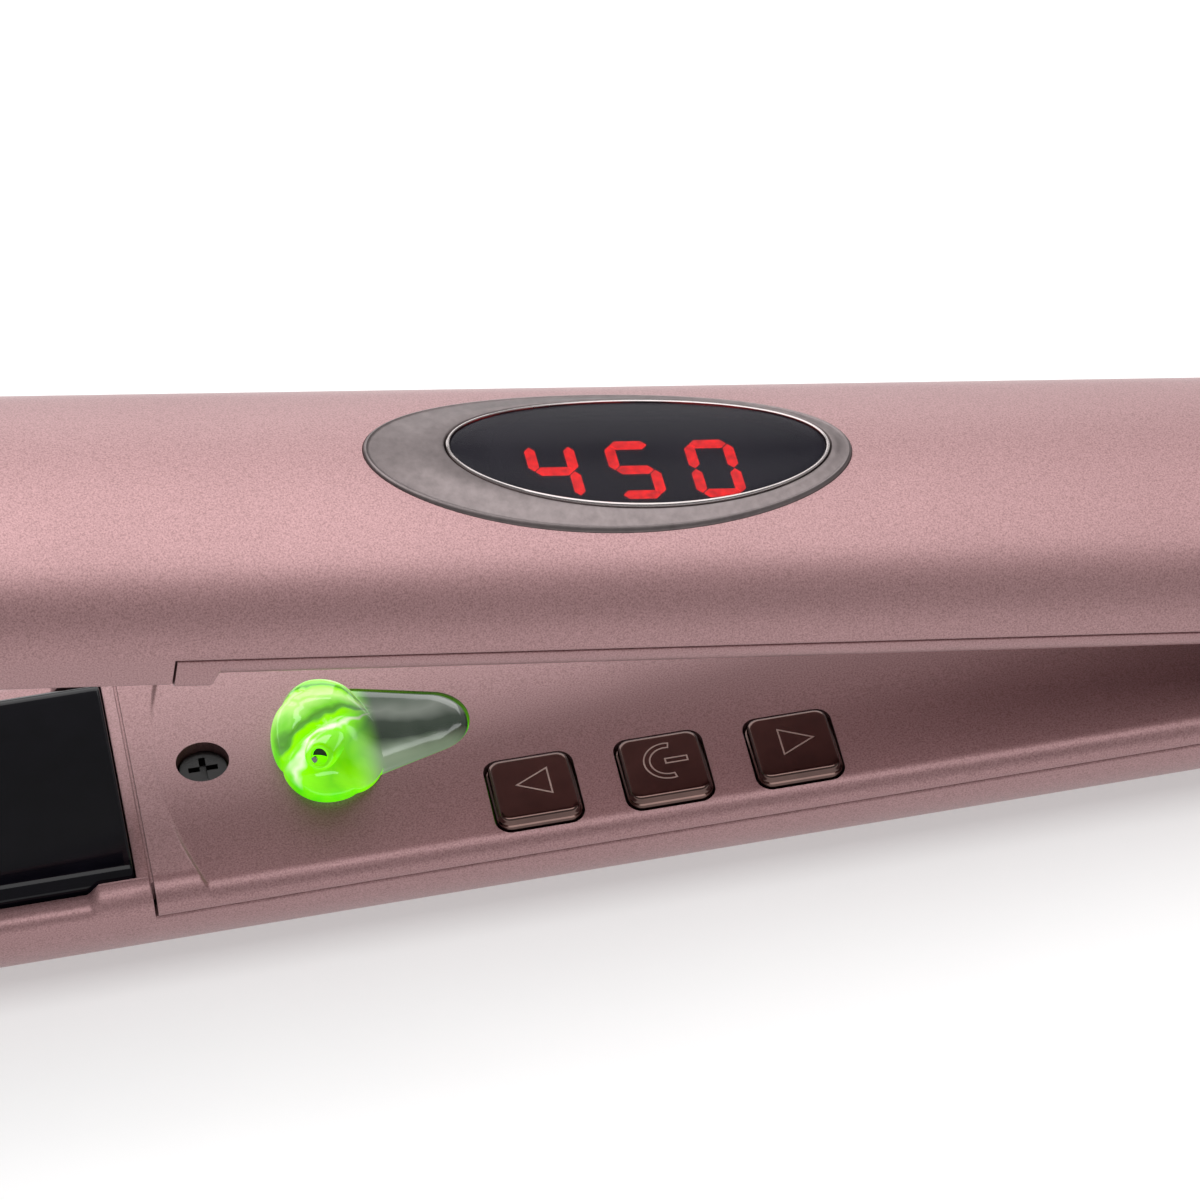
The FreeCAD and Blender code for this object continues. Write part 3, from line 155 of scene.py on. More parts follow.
def arm_points(points, arm):
    """Points of an arm's own frame, in mm from the hinge, in the part's frame in metres."""
    p = np.asarray(points, float)
    if arm == UPPER:
        turned = p.copy()
        turned[..., 0] = p[..., 0] * math.cos(OPEN) + p[..., 2] * math.sin(OPEN)
        turned[..., 2] = -p[..., 0] * math.sin(OPEN) + p[..., 2] * math.cos(OPEN)
        p = turned
    return (p + HINGE) * MM


def body_name(arm):
    return "lower_arm" if arm == LOWER else "upper_arm"


# ---------------------------------------------------------------- mesh helpers

def make_object(name, vertices, faces, material, smooth=SHARP):
    """A new piece in the scene, with one material."""
    mesh = bpy.data.meshes.new(name)
    mesh.from_pydata([tuple(v) for v in vertices], [], [tuple(f) for f in faces])
    mesh.validate()
    shade(mesh, smooth)
    piece = bpy.data.objects.new(name, mesh)
    bpy.context.scene.collection.objects.link(piece)
    piece.data.materials.append(material)
    return piece


def shade(mesh, angle):
    """Merges double points, turns the faces outwards and shades smooth up to an angle."""
    tidy = bmesh.new()
    tidy.from_mesh(mesh)
    bmesh.ops.remove_doubles(tidy, verts=tidy.verts, dist=1e-7)
    bmesh.ops.recalc_face_normals(tidy, faces=tidy.faces)
    tidy.to_mesh(mesh)
    tidy.free()
    mesh.shade_smooth()
    mesh.set_sharp_from_angle(angle=math.radians(angle))


def tube_faces(rows, count, capped):
    """Faces of a tube whose rows are closed loops of count points."""
    faces = []
    for r in range(rows - 1):
        for c in range(count):
            n = (c + 1) % count
            faces.append((r * count + c, r * count + n, (r + 1) * count + n, (r + 1) * count + c))
    if capped:
        faces.append(tuple(range(count)))
        faces.append(tuple((rows - 1) * count + c for c in reversed(range(count))))
    return faces


def loft(name, loops, arm, material, smooth=SHARP, capped=True):
    """A surface through closed loops of points in an arm's frame, closed at its ends if capped."""
    points = arm_points(np.vstack(loops), arm)
    faces = tube_faces(len(loops), len(loops[0]), capped)
    return make_object(name, points, faces, material, smooth)


def apply_modifiers(piece):
    """Makes the result of the piece's modifiers its own mesh."""
    graph = bpy.context.evaluated_depsgraph_get()
    mesh = bpy.data.meshes.new_from_object(piece.evaluated_get(graph))
    piece.modifiers.clear()
    old = piece.data
    piece.data = mesh
    bpy.data.meshes.remove(old)
    mesh.shade_smooth()
    mesh.set_sharp_from_angle(angle=math.radians(SHARP))


def combine(piece, other, operation):
    """Boolean of piece with other, which is used up."""
    step = piece.modifiers.new("combine", "BOOLEAN")
    step.operation = operation
    step.solver = "MANIFOLD"
    step.object = other
    apply_modifiers(piece)
    data = other.data
    bpy.data.objects.remove(other)
    bpy.data.meshes.remove(data)


def bevel(piece, width):
    """Rounds the piece's sharp edges."""
    step = piece.modifiers.new("bevel", "BEVEL")
    step.width = width * MM
    step.segments = 2
    step.limit_method = "ANGLE"
    step.angle_limit = math.radians(SHARP)
    apply_modifiers(piece)


def prism(name, outline, low, high, arm, material):
    """A prism over a plan outline of (x, y) points between two heights of the arm frame."""
    loops = [[(x, y, z) for x, y in outline] for z in (low, high)]
    return loft(name, loops, arm, material)


def full_turn(count):
    """Evenly spaced angles once around."""
    return np.linspace(0, 2 * math.pi, count, endpoint=False)


def ellipse(x, y, long, wide, count=96):
    """Plan outline of an ellipse about (x, y)."""
    return [(x + long * math.cos(t), y + wide * math.sin(t)) for t in full_turn(count)]


def rounded_square(x, y, half, corner):
    """Plan outline of a square about (x, y) with rounded corners."""
    points = []
    for quarter in range(4):
        middle = math.pi / 2 * quarter + math.pi / 4
        cx = x + (half - corner) * math.copysign(1, math.cos(middle))
        cy = y + (half - corner) * math.copysign(1, math.sin(middle))
        for t in np.linspace(middle - math.pi / 4, middle + math.pi / 4, 7):
            points.append((cx + corner * math.cos(t), cy + corner * math.sin(t)))
    return points


def rod_y(name, radius, low, high, arm, material):
    """A rod about the hinge's axis."""
    loops = [[(radius * math.cos(t), y, radius * math.sin(t)) for t in full_turn(96)]
             for y in (low, high)]
    return loft(name, loops, arm, material)


def rod_x(name, radius, low, high, arm, material):
    """A rod along the arm, at the hinge's height."""
    loops = [[(x, radius * math.cos(t), radius * math.sin(t)) for t in full_turn(72)]
             for x in (low, high)]
    return loft(name, loops, arm, material)


def block(name, x, y, z, arm, material):
    """A box between two values on each axis of the arm frame."""
    loops = [[(x[0], y[0], h), (x[1], y[0], h), (x[1], y[1], h), (x[0], y[1], h)] for h in z]
    return loft(name, loops, arm, material)


def unit(vector):
    """The vector at length 1, or None where it has no length."""
    length = np.linalg.norm(vector)
    return vector / length if length > 0 else None


def smoothstep(value):
    value = np.clip(value, 0.0, 1.0)
    return value * value * (3 - 2 * value)


# ---------------------------------------------------------------- materials

def new_material(name):
    """A material with its nodes, links and shader."""
    material = bpy.data.materials.new(name)
    material.use_nodes = True
    nodes = material.node_tree.nodes
    return material, nodes, material.node_tree.links, nodes["Principled BSDF"]


def noise(nodes, links, coordinates, scale, detail=2.0, rough=0.5):
    texture = nodes.new("ShaderNodeTexNoise")
    texture.inputs["Scale"].default_value = scale
    texture.inputs["Detail"].default_value = detail
    texture.inputs["Roughness"].default_value = rough
    links.new(coordinates, texture.inputs["Vector"])
    return texture


def ramp(nodes, links, factor, stops):
    """A colour ramp through (position, colour) stops."""
    node = nodes.new("ShaderNodeValToRGB")
    elements = node.color_ramp.elements
    while len(elements) < len(stops):
        elements.new(0.5)
    for element, (place, colour) in zip(elements, stops):
        element.position = place
        element.color = (*colour, 1.0)
    links.new(factor, node.inputs["Fac"])
    return node.outputs["Color"]


def grey(value):
    return (value, value, value)


def bump(nodes, links, height, strength, distance, normal=None):
    node = nodes.new("ShaderNodeBump")
    node.inputs["Strength"].default_value = strength
    node.inputs["Distance"].default_value = distance
    links.new(height, node.inputs["Height"])
    if normal is not None:
        links.new(normal, node.inputs["Normal"])
    return node.outputs["Normal"]


def surface(name, colour, spread=0.08, roughness=0.4, rough_spread=0.08, metallic=0.0,
            grain=900.0, bump_strength=0.05, bump_distance=0.00002, **sockets):
    """A material with fine mottling of colour and roughness and a slight bump."""
    material, nodes, links, shader = new_material(name)
    where = nodes.new("ShaderNodeTexCoord").outputs["Object"]
    fine = noise(nodes, links, where, grain, 3.0, 0.6)
    broad = noise(nodes, links, where, grain / 12, 2.0)
    dark = tuple(c * (1 - spread) for c in colour)
    light = tuple(min(c * (1 + spread), 1.0) for c in colour)
    links.new(ramp(nodes, links, fine.outputs["Fac"], [(0.3, dark), (0.7, light)]),
              shader.inputs["Base Color"])
    low, high = max(roughness - rough_spread, 0.02), min(roughness + rough_spread, 1.0)
    links.new(ramp(nodes, links, broad.outputs["Fac"], [(0.3, grey(low)), (0.7, grey(high))]),
              shader.inputs["Roughness"])
    links.new(bump(nodes, links, fine.outputs["Fac"], bump_strength, bump_distance),
              shader.inputs["Normal"])
    shader.inputs["Metallic"].default_value = metallic
    for socket, value in sockets.items():
        shader.inputs[socket.replace("_", " ")].default_value = value
    return material


def flake_paint(name, colour, shadow_tint):
    """Metallic flake paint: bright and dark flakes a fifth of a millimetre across."""
    material, nodes, links, shader = new_material(name)
    where = nodes.new("ShaderNodeTexCoord").outputs["Object"]
    flakes = noise(nodes, links, where, 6000.0, 2.0, 0.7)
    specks = noise(nodes, links, where, 3000.0, 1.0, 0.5)
    clouds = noise(nodes, links, where, 60.0, 3.0, 0.55)
    dark = tuple(c * s for c, s in zip(colour, shadow_tint))
    light = tuple(min(c * 1.22, 1.0) for c in colour)
    base = ramp(nodes, links, flakes.outputs["Fac"],
                [(0.34, dark), (0.5, colour), (0.66, light)])
    links.new(base, shader.inputs["Base Color"])
    links.new(ramp(nodes, links, clouds.outputs["Fac"], [(0.3, grey(0.46)), (0.7, grey(0.52))]),
              shader.inputs["Roughness"])
    first = bump(nodes, links, flakes.outputs["Fac"], 0.16, 0.00003)
    links.new(bump(nodes, links, specks.outputs["Fac"], 0.06, 0.00004, first),
              shader.inputs["Normal"])
    shader.inputs["Metallic"].default_value = 0.62
    shader.inputs["Specular IOR Level"].default_value = 0.5
    shader.inputs["Coat Weight"].default_value = 0.6
    shader.inputs["Coat Roughness"].default_value = 0.42
    return material


# surface() takes the colour and its spread, the roughness and its spread, the metallic share, and
# the grain, strength and distance of the bump
ROSE = (0.358, 0.200, 0.205)
paint = flake_paint("rose paint", ROSE, (0.72, 0.66, 0.66))
# painted shade: a copy of the rose paint, 4% darker and with redder dark flakes, for the covers
# that lie in the shade between the arms
shaded_cover_paint = flake_paint("shaded cover paint", tuple(c * 0.96 for c in ROSE), (0.72, 0.64, 0.64))
plate_black = surface("plate coating", (0.004, 0.0035, 0.006), 0.25, 0.10, 0.03, 0.0, 350.0,
                      0.012, 0.00002, Specular_IOR_Level=0.22)
heat_plastic = surface("heat plastic", (0.018, 0.018, 0.02), 0.2, 0.6, 0.1)
gunmetal = surface("gunmetal", (0.165, 0.138, 0.138), 0.14, 0.36, 0.04, 0.85, 900.0, 0.05,
                   0.00002)
silver = surface("silver ring", (0.42, 0.38, 0.375), 0.06, 0.24, 0.05, 1.0, 700.0, 0.02)
bronze = surface("dark bronze", (0.100, 0.056, 0.048), 0.15, 0.12, 0.04, 1.0, 420.0, 0.02,
                 Coat_Weight=0.4, Coat_Roughness=0.06)
icon_bronze = surface("icon bronze", (0.50, 0.40, 0.36), 0.1, 0.3, 0.05, 0.7, 700.0, 0.02)
screw_black = surface("black oxide", (0.010, 0.009, 0.009), 0.3, 0.32, 0.1, 0.35, 900.0, 0.08)
steel = surface("steel", (0.50, 0.50, 0.51), 0.08, 0.3, 0.08, 1.0, 800.0, 0.04)
zinc = surface("zinc", (0.62, 0.62, 0.60), 0.08, 0.35, 0.08, 1.0, 700.0, 0.04)
board_green = surface("solder mask", (0.02, 0.13, 0.05), 0.2, 0.3, 0.08, 0.0, 500.0, 0.05)
component = surface("component", (0.02, 0.02, 0.022), 0.25, 0.5, 0.1, 0.0, 800.0, 0.08)
silicone = surface("silicone", (0.42, 0.08, 0.05), 0.1, 0.55, 0.08, 0.0, 600.0, 0.05)
sleeve = surface("lead sleeve", (0.62, 0.60, 0.54), 0.18, 0.75, 0.08, 0.0, 2500.0, 0.3)
ceramic = surface("ceramic", (0.62, 0.60, 0.55), 0.08, 0.6, 0.1, 0.0, 700.0, 0.08)
nylon = surface("nylon", (0.62, 0.61, 0.57), 0.06, 0.5, 0.08, 0.0, 700.0, 0.05)
bead = surface("sensor glass", (0.55, 0.30, 0.14), 0.1, 0.12, 0.04, 0.0, 500.0, 0.02)
capacitor = surface("capacitor sleeve", (0.03, 0.04, 0.09), 0.1, 0.3, 0.06, 0.0, 500.0, 0.03)
gland_black = surface("gland nylon", (0.02, 0.02, 0.021), 0.25, 0.55, 0.1, 0.0, 900.0, 0.1)


def lens_material():
    """Smoked plastic that lets the lit digits through."""
    material, nodes, links, shader = new_material("smoked lens")
    where = nodes.new("ShaderNodeTexCoord").outputs["Object"]
    smudge = noise(nodes, links, where, 180.0, 4.0, 0.6)
    links.new(ramp(nodes, links, smudge.outputs["Fac"], [(0.35, grey(0.22)), (0.75, grey(0.30))]),
              shader.inputs["Roughness"])
    links.new(ramp(nodes, links, smudge.outputs["Fac"],
                   [(0.3, (0.012, 0.011, 0.016)), (0.8, (0.020, 0.018, 0.025))]),
              shader.inputs["Base Color"])
    shader.inputs["Alpha"].default_value = 0.8
    shader.inputs["Specular IOR Level"].default_value = 0.08
    return material


def lit(name, colour, strength, spread=0.15):
    """A lit surface, brighter in the middle of its mottling."""
    material, nodes, links, shader = new_material(name)
    where = nodes.new("ShaderNodeTexCoord").outputs["Object"]
    mottle = noise(nodes, links, where, 1500.0, 2.0)
    low = tuple(c * (1 - spread) for c in colour)
    colour_out = ramp(nodes, links, mottle.outputs["Fac"], [(0.3, low), (0.7, colour)])
    links.new(colour_out, shader.inputs["Base Color"])
    links.new(colour_out, shader.inputs["Emission Color"])
    shader.inputs["Emission Strength"].default_value = strength
    shader.inputs["Roughness"].default_value = 0.4
    return material


def ion_material():
    """Clear plastic lit green from below, drawn as a painted glow: green at its turned-away sides
    and its raised bulb, with painted glints, painted shade and painted reflections.
    """
    material, nodes, links, shader = new_material("ion clear painted glow")
    where = nodes.new("ShaderNodeTexCoord").outputs["Object"]
    facing = nodes.new("ShaderNodeNewGeometry").outputs["Normal"]
    place = nodes.new("ShaderNodeSeparateXYZ")
    links.new(where, place.inputs["Vector"])
    tilt = nodes.new("ShaderNodeSeparateXYZ")
    links.new(facing, tilt.inputs["Vector"])
    swirl = noise(nodes, links, where, 180.0, 2.0, 0.5)
    glints = noise(nodes, links, where, 330.0, 2.0, 0.45)

    def spread(value, low, high):
        node = nodes.new("ShaderNodeMapRange")
        node.interpolation_type = "SMOOTHSTEP"
        node.inputs["From Min"].default_value = low
        node.inputs["From Max"].default_value = high
        links.new(value, node.inputs["Value"])
        return node.outputs["Result"]

    def mixed(factor, first, second):
        node = nodes.new("ShaderNodeMix")
        node.data_type = "RGBA"
        links.new(factor, node.inputs["Factor"])
        links.new(first, node.inputs["A"])
        links.new(second, node.inputs["B"])
        return node.outputs["Result"]

    def math_node(operation, first, second, third=None):
        node = nodes.new("ShaderNodeMath")
        node.operation = operation
        for socket, value in zip(node.inputs, (first, second, third)):
            if isinstance(value, float):
                socket.default_value = value
            elif value is not None:
                links.new(value, socket)
        return node.outputs["Value"]

    # the window: painted reflections and painted shade across it, a pale streak at its near edge,
    # dark through the middle and a lighter grey band towards its far side
    across = math_node("MULTIPLY_ADD", swirl.outputs["Fac"], 0.004, place.outputs["Y"])
    clear = ramp(nodes, links, spread(across, -0.002, 0.0075),
                 [(0.0, (0.20, 0.27, 0.18)), (0.16, (0.10, 0.14, 0.09)),
                  (0.3, (0.016, 0.028, 0.016)), (0.55, (0.03, 0.042, 0.03)),
                  (0.78, (0.16, 0.18, 0.155)), (1.0, (0.05, 0.07, 0.05))])
    # the bulb's folds fan out from its apex, with painted streaks of light and shade between them:
    # painted glints and painted shade
    ahead = math_node("SUBTRACT", float(HINGE[0] + APEX[0]) * MM, place.outputs["X"])
    aside = math_node("SUBTRACT", APEX[1] * MM, place.outputs["Y"])
    turn = math_node("ARCTAN2", aside, ahead)
    wavy = math_node("MULTIPLY_ADD", glints.outputs["Fac"], 0.45, turn)
    share = spread(wavy, -1.25, 1.8)
    painted_bulb_glow = ramp(nodes, links, share,
                [(0.0, (0.14, 0.78, 0.0)), (0.10, (0.42, 1.0, 0.12)), (0.20, (0.80, 1.0, 0.55)),
                 (0.28, (0.28, 1.0, 0.0)), (0.36, (0.07, 0.36, 0.0)), (0.40, (0.32, 1.0, 0.01)),
                 (0.52, (0.55, 1.0, 0.25)), (0.61, (0.20, 0.7, 0.04)), (0.65, (0.09, 0.32, 0.03)),
                 (0.675, (0.12, 0.42, 0.05)), (0.70, (0.30, 1.0, 0.0)),
                 (0.78, (0.22, 0.95, 0.0)), (0.81, (0.85, 1.0, 0.65)), (0.84, (0.26, 1.0, 0.0)),
                 (0.93, (0.14, 0.62, 0.0)), (1.0, (0.32, 1.0, 0.0))])
    # painted glow: bright green on the sides that turn away from above
    rim = ramp(nodes, links, glints.outputs["Fac"],
               [(0.35, (0.10, 0.80, 0.0)), (0.65, (0.24, 1.0, 0.0))])
    inner = mixed(spread(place.outputs["X"], 0.0010, -0.0030), clear, painted_bulb_glow)
    colour = mixed(spread(tilt.outputs["Z"], 0.62, 0.20), inner, rim)
    # the colour is also emitted: a painted glow of the green lamp's light through the clear
    # plastic, which is no lamp itself
    links.new(colour, shader.inputs["Base Color"])
    links.new(colour, shader.inputs["Emission Color"])
    shader.inputs["Emission Strength"].default_value = 0.72
    links.new(ramp(nodes, links, swirl.outputs["Fac"], [(0.3, grey(0.04)), (0.7, grey(0.10))]),
              shader.inputs["Roughness"])
    links.new(bump(nodes, links, swirl.outputs["Fac"], 0.15, 0.0002), shader.inputs["Normal"])
    shader.inputs["Coat Weight"].default_value = 0.5
    shader.inputs["Coat Roughness"].default_value = 0.03
    return material


ion_clear_painted_glow = ion_material()
lens_dark = lens_material()
digit_red = lit("digit red", (1.0, 0.013, 0.009), 24.0, 0.45)
lamp_green = lit("lamp green", (0.25, 1.0, 0.08), 3.0)

NODE_MATERIALS = [
    (plate_black, ["lower_plate", "upper_plate"]),
    (heat_plastic, ["lower_plate_frame", "upper_plate_frame", "swivel_retainer"]),
    (silicone, ["lower_plate_cushions", "upper_plate_cushions"]),
    (sleeve, ["lower_heater_leads", "upper_heater_leads"]),
    (ceramic, ["lower_heater", "upper_heater"]),
    (steel, ["lower_heater_clamp", "upper_heater_clamp", "ion_needle", "hinge_spring",
             "hinge_pin"]),
    (bead, ["lower_thermistor", "upper_thermistor"]),
    (screw_black, ["lower_cover_screws", "upper_cover_screws"]),
    (zinc, ["board_screws", "display_board_screws"]),
    (component, ["button_switches", "heater_triac", "ion_generator", "display_module"]),
    (board_green, ["control_board", "display_board"]),
    (capacitor, ["supply_capacitor"]),
    (nylon, ["hinge_washer"]),
    (gland_black, ["swivel_gland"]),
    (lamp_green, ["ion_lamp"]),
    (paint, ["lower_housing", "upper_housing"]),
    (shaded_cover_paint, ["lower_inner_cover", "upper_inner_cover"]),
    (bronze, [*BUTTONS, "hinge_caps"]),
    (gunmetal, ["display_bezel"]),
    (silver, ["display_trim_ring"]),
    (lens_dark, ["display_lens"]),
    (digit_red, ["display_digits"]),
    (ion_clear_painted_glow, ["ion_outlet"]),
]
for material, names in NODE_MATERIALS:
    for node in names:
        mesh = frame["nodes"][node].data
        mesh.materials.clear()
        mesh.materials.append(material)


# ---------------------------------------------------------------- arm sections

def crown_below(half, height):
    """How far under a crown's spring line the centre lies of the arc through its top."""
    return (half ** 2 - height ** 2) / (2 * height)


FLAT_HALF = HALF_WIDTH - SHOULDER
CROWN_DROP = crown_below(FLAT_HALF, DEPTH - SHOULDER)
CROWN_RADIUS = CROWN_DROP + DEPTH
CROWN_CENTRE = SEAM - CROWN_DROP


def half_oval(inset, rim, steps=14):
    """(y, depth) points of the arm's outline from one rim to the other, drawn inset."""
    radius = SHOULDER - inset
    lean = math.atan2(CROWN_DROP, FLAT_HALF)
    turns = np.linspace(0, lean, steps)
    if rim < SEAM:
        points = [(HALF_WIDTH - inset, rim), (HALF_WIDTH - inset, (rim + SEAM) / 2)]
    else:
        points = []
        start = math.asin((rim - SEAM) / radius)
        first = start + (lean - start) / steps
        after = turns[1:] if start < turns[1] * 0.8 else np.linspace(first, lean, steps)[1:]
        turns = [*np.linspace(start, after[0], 4)[:3], *after]
    for t in turns:
        points.append((FLAT_HALF + radius * math.cos(t), SEAM + radius * math.sin(t)))
    crown = CROWN_RADIUS - inset
    for t in np.linspace(lean, math.pi / 2, steps)[1:]:
        points.append((crown * math.cos(t), CROWN_CENTRE + crown * math.sin(t)))
    mirrored = [(-y, z) for y, z in reversed(points[:-1])]
    return points + mirrored


def rim_round(rim, radius, side):
    """Points of the rounded outer corner of a rim, from its side up to its top."""
    return [(side - radius + radius * math.cos(t), rim + radius - radius * math.sin(t))
            for t in np.linspace(0, math.pi / 2, 6)]


def housing_loop(arm, x, rim, inset=0.0, inner_rim=None, solid=False, radius=RIM_ROUND):
    """One closed section of a housing at x: outside, rim, inside, rim."""
    side, inner = HALF_WIDTH - inset, HALF_WIDTH - inset - WALL
    lip = inner if inner_rim is None else inner_rim
    foot = max(rim + radius, SEAM - 0.1) if rim < SEAM else rim + radius
    outside = half_oval(inset, foot)
    corner = rim_round(rim, radius, side)
    depth = rim + 1.2
    inside = half_oval(WALL + inset, depth + 0.3)[::-1]
    near_in = [(-lip - 0.25, rim), (-lip - 0.06, rim + 0.06), (-lip, rim + 0.25),
               (-lip, depth), (-inner, depth + 0.15)]
    if solid:
        inside = [(y, rim) for y, z in inside]
        near_in = [(y, rim) for y, z in near_in]
    far_in = [(-y, z) for y, z in reversed(near_in)]
    loop = outside + [(-y, z) for y, z in corner] + near_in + inside + far_in
    loop += [(y, z) for y, z in reversed(corner)]
    land = SEAM + DEPTH - REST_LAND
    if arm == LOWER:
        loop = [(y, min(z, land)) for y, z in loop]
    return [(x, y, arm * z) for y, z in loop]


def housing_stations(arm):
    """The housing's sections from the tip to the hinge, as housing_loop's values after arm."""
    rows = []
    for t in np.linspace(0, math.pi / 2, 12):
        rows.append((-TIP + NOSE_ROUND * (1 - math.cos(t)), NOSE_RIM,
                     NOSE_ROUND * (1 - math.sin(t)), None, True))
    rows.append((-NOSE_BACK - 0.3, NOSE_RIM, 0.0, None, True))
    rows.append((-NOSE_BACK, NOSE_RIM, 0.0, None, True))
    bed = -NOSE_BACK + 0.01
    if arm == UPPER:
        reach = -COVER_END + 1.1
        return rows + [(bed, NOSE_RIM), (BED_MIDDLE, NOSE_RIM), (reach - 0.3, NOSE_RIM),
                       (reach, NOSE_RIM + 0.1), (reach + 0.01, SEAM), (HANDLE_MIDDLE, SEAM),
                       (-SHELL_END, SEAM)]
    for share in (0.0, 0.1, 0.35, 0.65, 0.9, 1.0):
        blend = float(smoothstep(share))
        rows.append((bed + share, NOSE_RIM + (LOWER_RIM - NOSE_RIM) * blend, 0.0, RIM_INNER,
                     False, RIM_ROUND + (BED_ROUND - RIM_ROUND) * blend))
    rows.append((BED_MIDDLE, LOWER_RIM, 0.0, RIM_INNER, False, BED_ROUND))
    for share in np.linspace(0, 1, 12):
        blend = float(smoothstep(share))
        rows.append((STEP_FAR + share * (STEP_NEAR - STEP_FAR),
                     LOWER_RIM + (LAND_TOP - LOWER_RIM) * blend, 0.0, RIM_INNER, False,
                     BED_ROUND + (LAND_ROUND - BED_ROUND) * blend))
    rows.append((-STRIP_NEAR - 0.15, LAND_TOP, 0.0, RIM_INNER, False, LAND_ROUND))
    rows.append((-STRIP_NEAR - 0.02, LAND_TOP + 0.12, 0.0, RIM_INNER, False, LAND_ROUND))
    return rows + [(-STRIP_NEAR, SEAM), (HANDLE_MIDDLE, SEAM), (-SHELL_END, SEAM)]


def barrel(name, low, high, arm, material):
    """A slice of the hinge barrel, kept inside the arms' own outline."""
    profile = half_oval(0.0, 0.0, 60)
    ys = np.array([p[0] for p in profile])[::-1]
    depths = np.array([p[1] for p in profile])[::-1]
    loops = []
    for y in np.linspace(low, high, 16):
        reach = float(np.interp(min(abs(y), HALF_WIDTH - 1e-3), ys, depths))
        loops.append([(BARREL * math.cos(t), y,
                       max(-reach, min(reach, BARREL * math.sin(t)))) for t in full_turn(96)])
    return loft(name, loops, arm, material)


def housing(arm):
    """A housing's shell with its half of the hinge, and the strip and ledge at its plate end."""
    tag = "lower" if arm == LOWER else "upper"
    loops = [housing_loop(arm, *row) for row in housing_stations(arm)]
    shell = loft(f"{tag}_housing_skin", loops, arm, paint)

    def cut(name, radius, low, high):
        combine(shell, rod_y(name, radius, low, high, arm, paint), "DIFFERENCE")

    near = KNUCKLE + KNUCKLE_GAP / 2
    if arm == LOWER:
        cut("room", BARREL + BARREL_GAP, near, PAST_SIDE)
        cut("room", BARREL + BARREL_GAP, -PAST_SIDE, -near)
        knuckle = barrel("knuckle", -KNUCKLE, KNUCKLE, arm, paint)
        gland_room = rod_x("gland_room", GLAND_ROOM, GLAND_START, PAST_SIDE, arm, paint)
        combine(knuckle, gland_room, "DIFFERENCE")
        combine(shell, knuckle, "UNION")
        cut("pin_bore", PIN_BORE, -PAST_SIDE, PAST_SIDE)
        cut("spring_room", SPRING_ROOM, -PAST_SIDE, -KNUCKLE + SPRING_DEPTH)
    else:
        cut("room", BARREL + BARREL_GAP, -near, near)
        x, y, long, wide = OUTER_OVAL
        opening = ellipse(x, y, long + WINDOW_GAP, wide + WINDOW_GAP)
        combine(shell, prism("window", opening, 6, 20, arm, paint), "DIFFERENCE")
        start = KNUCKLE + KNUCKLE_GAP
        for low, high in ((start, HALF_WIDTH - 0.02), (-HALF_WIDTH + 0.02, -start)):
            combine(shell, barrel("ear", low, high, arm, paint), "UNION")
        cut("cap_room", CAP_ROOM, HALF_WIDTH - CAP_DEPTH, PAST_SIDE)
        cut("cap_room", CAP_ROOM, -PAST_SIDE, -HALF_WIDTH + CAP_DEPTH)
    strip = block(f"{tag}_end_strip", (-PLATE_NEAR + 0.15, -STRIP_NEAR),
                  (-RIM_INNER + 0.05, RIM_INNER - 0.05),
                  (arm * LAND_TOP, arm * (SEAM + 2.5)), arm, paint)
    bevel(strip, 0.15)
    ledge = block(f"{tag}_end_ledge", (-STRIP_NEAR - 0.5, -COVER_END - 0.03),
                  (-RIM_INNER - 0.6, RIM_INNER + 0.6),
                  (arm * (LAND_TOP + 0.32), arm * (SEAM - 0.6)), arm, paint)
    for piece in (shell, strip, ledge):
        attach(piece, body_name(arm))
    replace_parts(shell, f"{tag}_housing")


# ---------------------------------------------------------------- handle covers

COVER_FLAT = HALF_WIDTH - COVER_SHOULDER
COVER_HEIGHT = SEAM - COVER_TOP - COVER_SIDE
COVER_DROP = crown_below(COVER_FLAT, COVER_HEIGHT - COVER_SHOULDER)
COVER_CROWN = COVER_DROP + COVER_HEIGHT


def cover_profile():
    """(y, depth) of the cover's crowned outside from +y to -y, from side to side."""
    lean = math.atan2(COVER_DROP, COVER_FLAT)
    points = [(HALF_WIDTH - 0.3, SEAM - 0.04), (HALF_WIDTH - 0.06, SEAM - 0.16),
              (HALF_WIDTH, SEAM - GROOVE), (HALF_WIDTH, SEAM - COVER_SIDE)]
    for t in np.linspace(0, lean, 10)[1:]:
        points.append((COVER_FLAT + COVER_SHOULDER * math.cos(t),
                       SEAM - COVER_SIDE - COVER_SHOULDER * math.sin(t)))
    last_y = points[-1][0]
    level = SEAM - COVER_SIDE + COVER_DROP
    for y in last_y * (1 - np.linspace(0, 1, 40)[1:] ** 1.5):
        points.append((y, level - math.sqrt(COVER_CROWN ** 2 - y ** 2)))
    return points + [(-y, z) for y, z in reversed(points[:-1])]


def land_profile(profile, arm):
    """The raised land's depths, matched one to one with the crowned profile's points."""
    radius = LAND_ROUND if arm == LOWER else TAB_ROUND
    foot = SEAM - GROOVE
    matched = []
    for y, depth in profile:
        rest = abs(y) - (HALF_WIDTH - radius)
        top = LAND_TOP
        if rest > 0:
            top += radius - math.sqrt(max(radius ** 2 - rest ** 2, 0.0))
        if abs(y) > HALF_WIDTH - 0.01:
            share = (foot - depth) / (COVER_SIDE - GROOVE)
            top = foot - share * (foot - LAND_TOP - radius)
        matched.append(depth if depth > SEAM - 0.3 else top)
    return matched


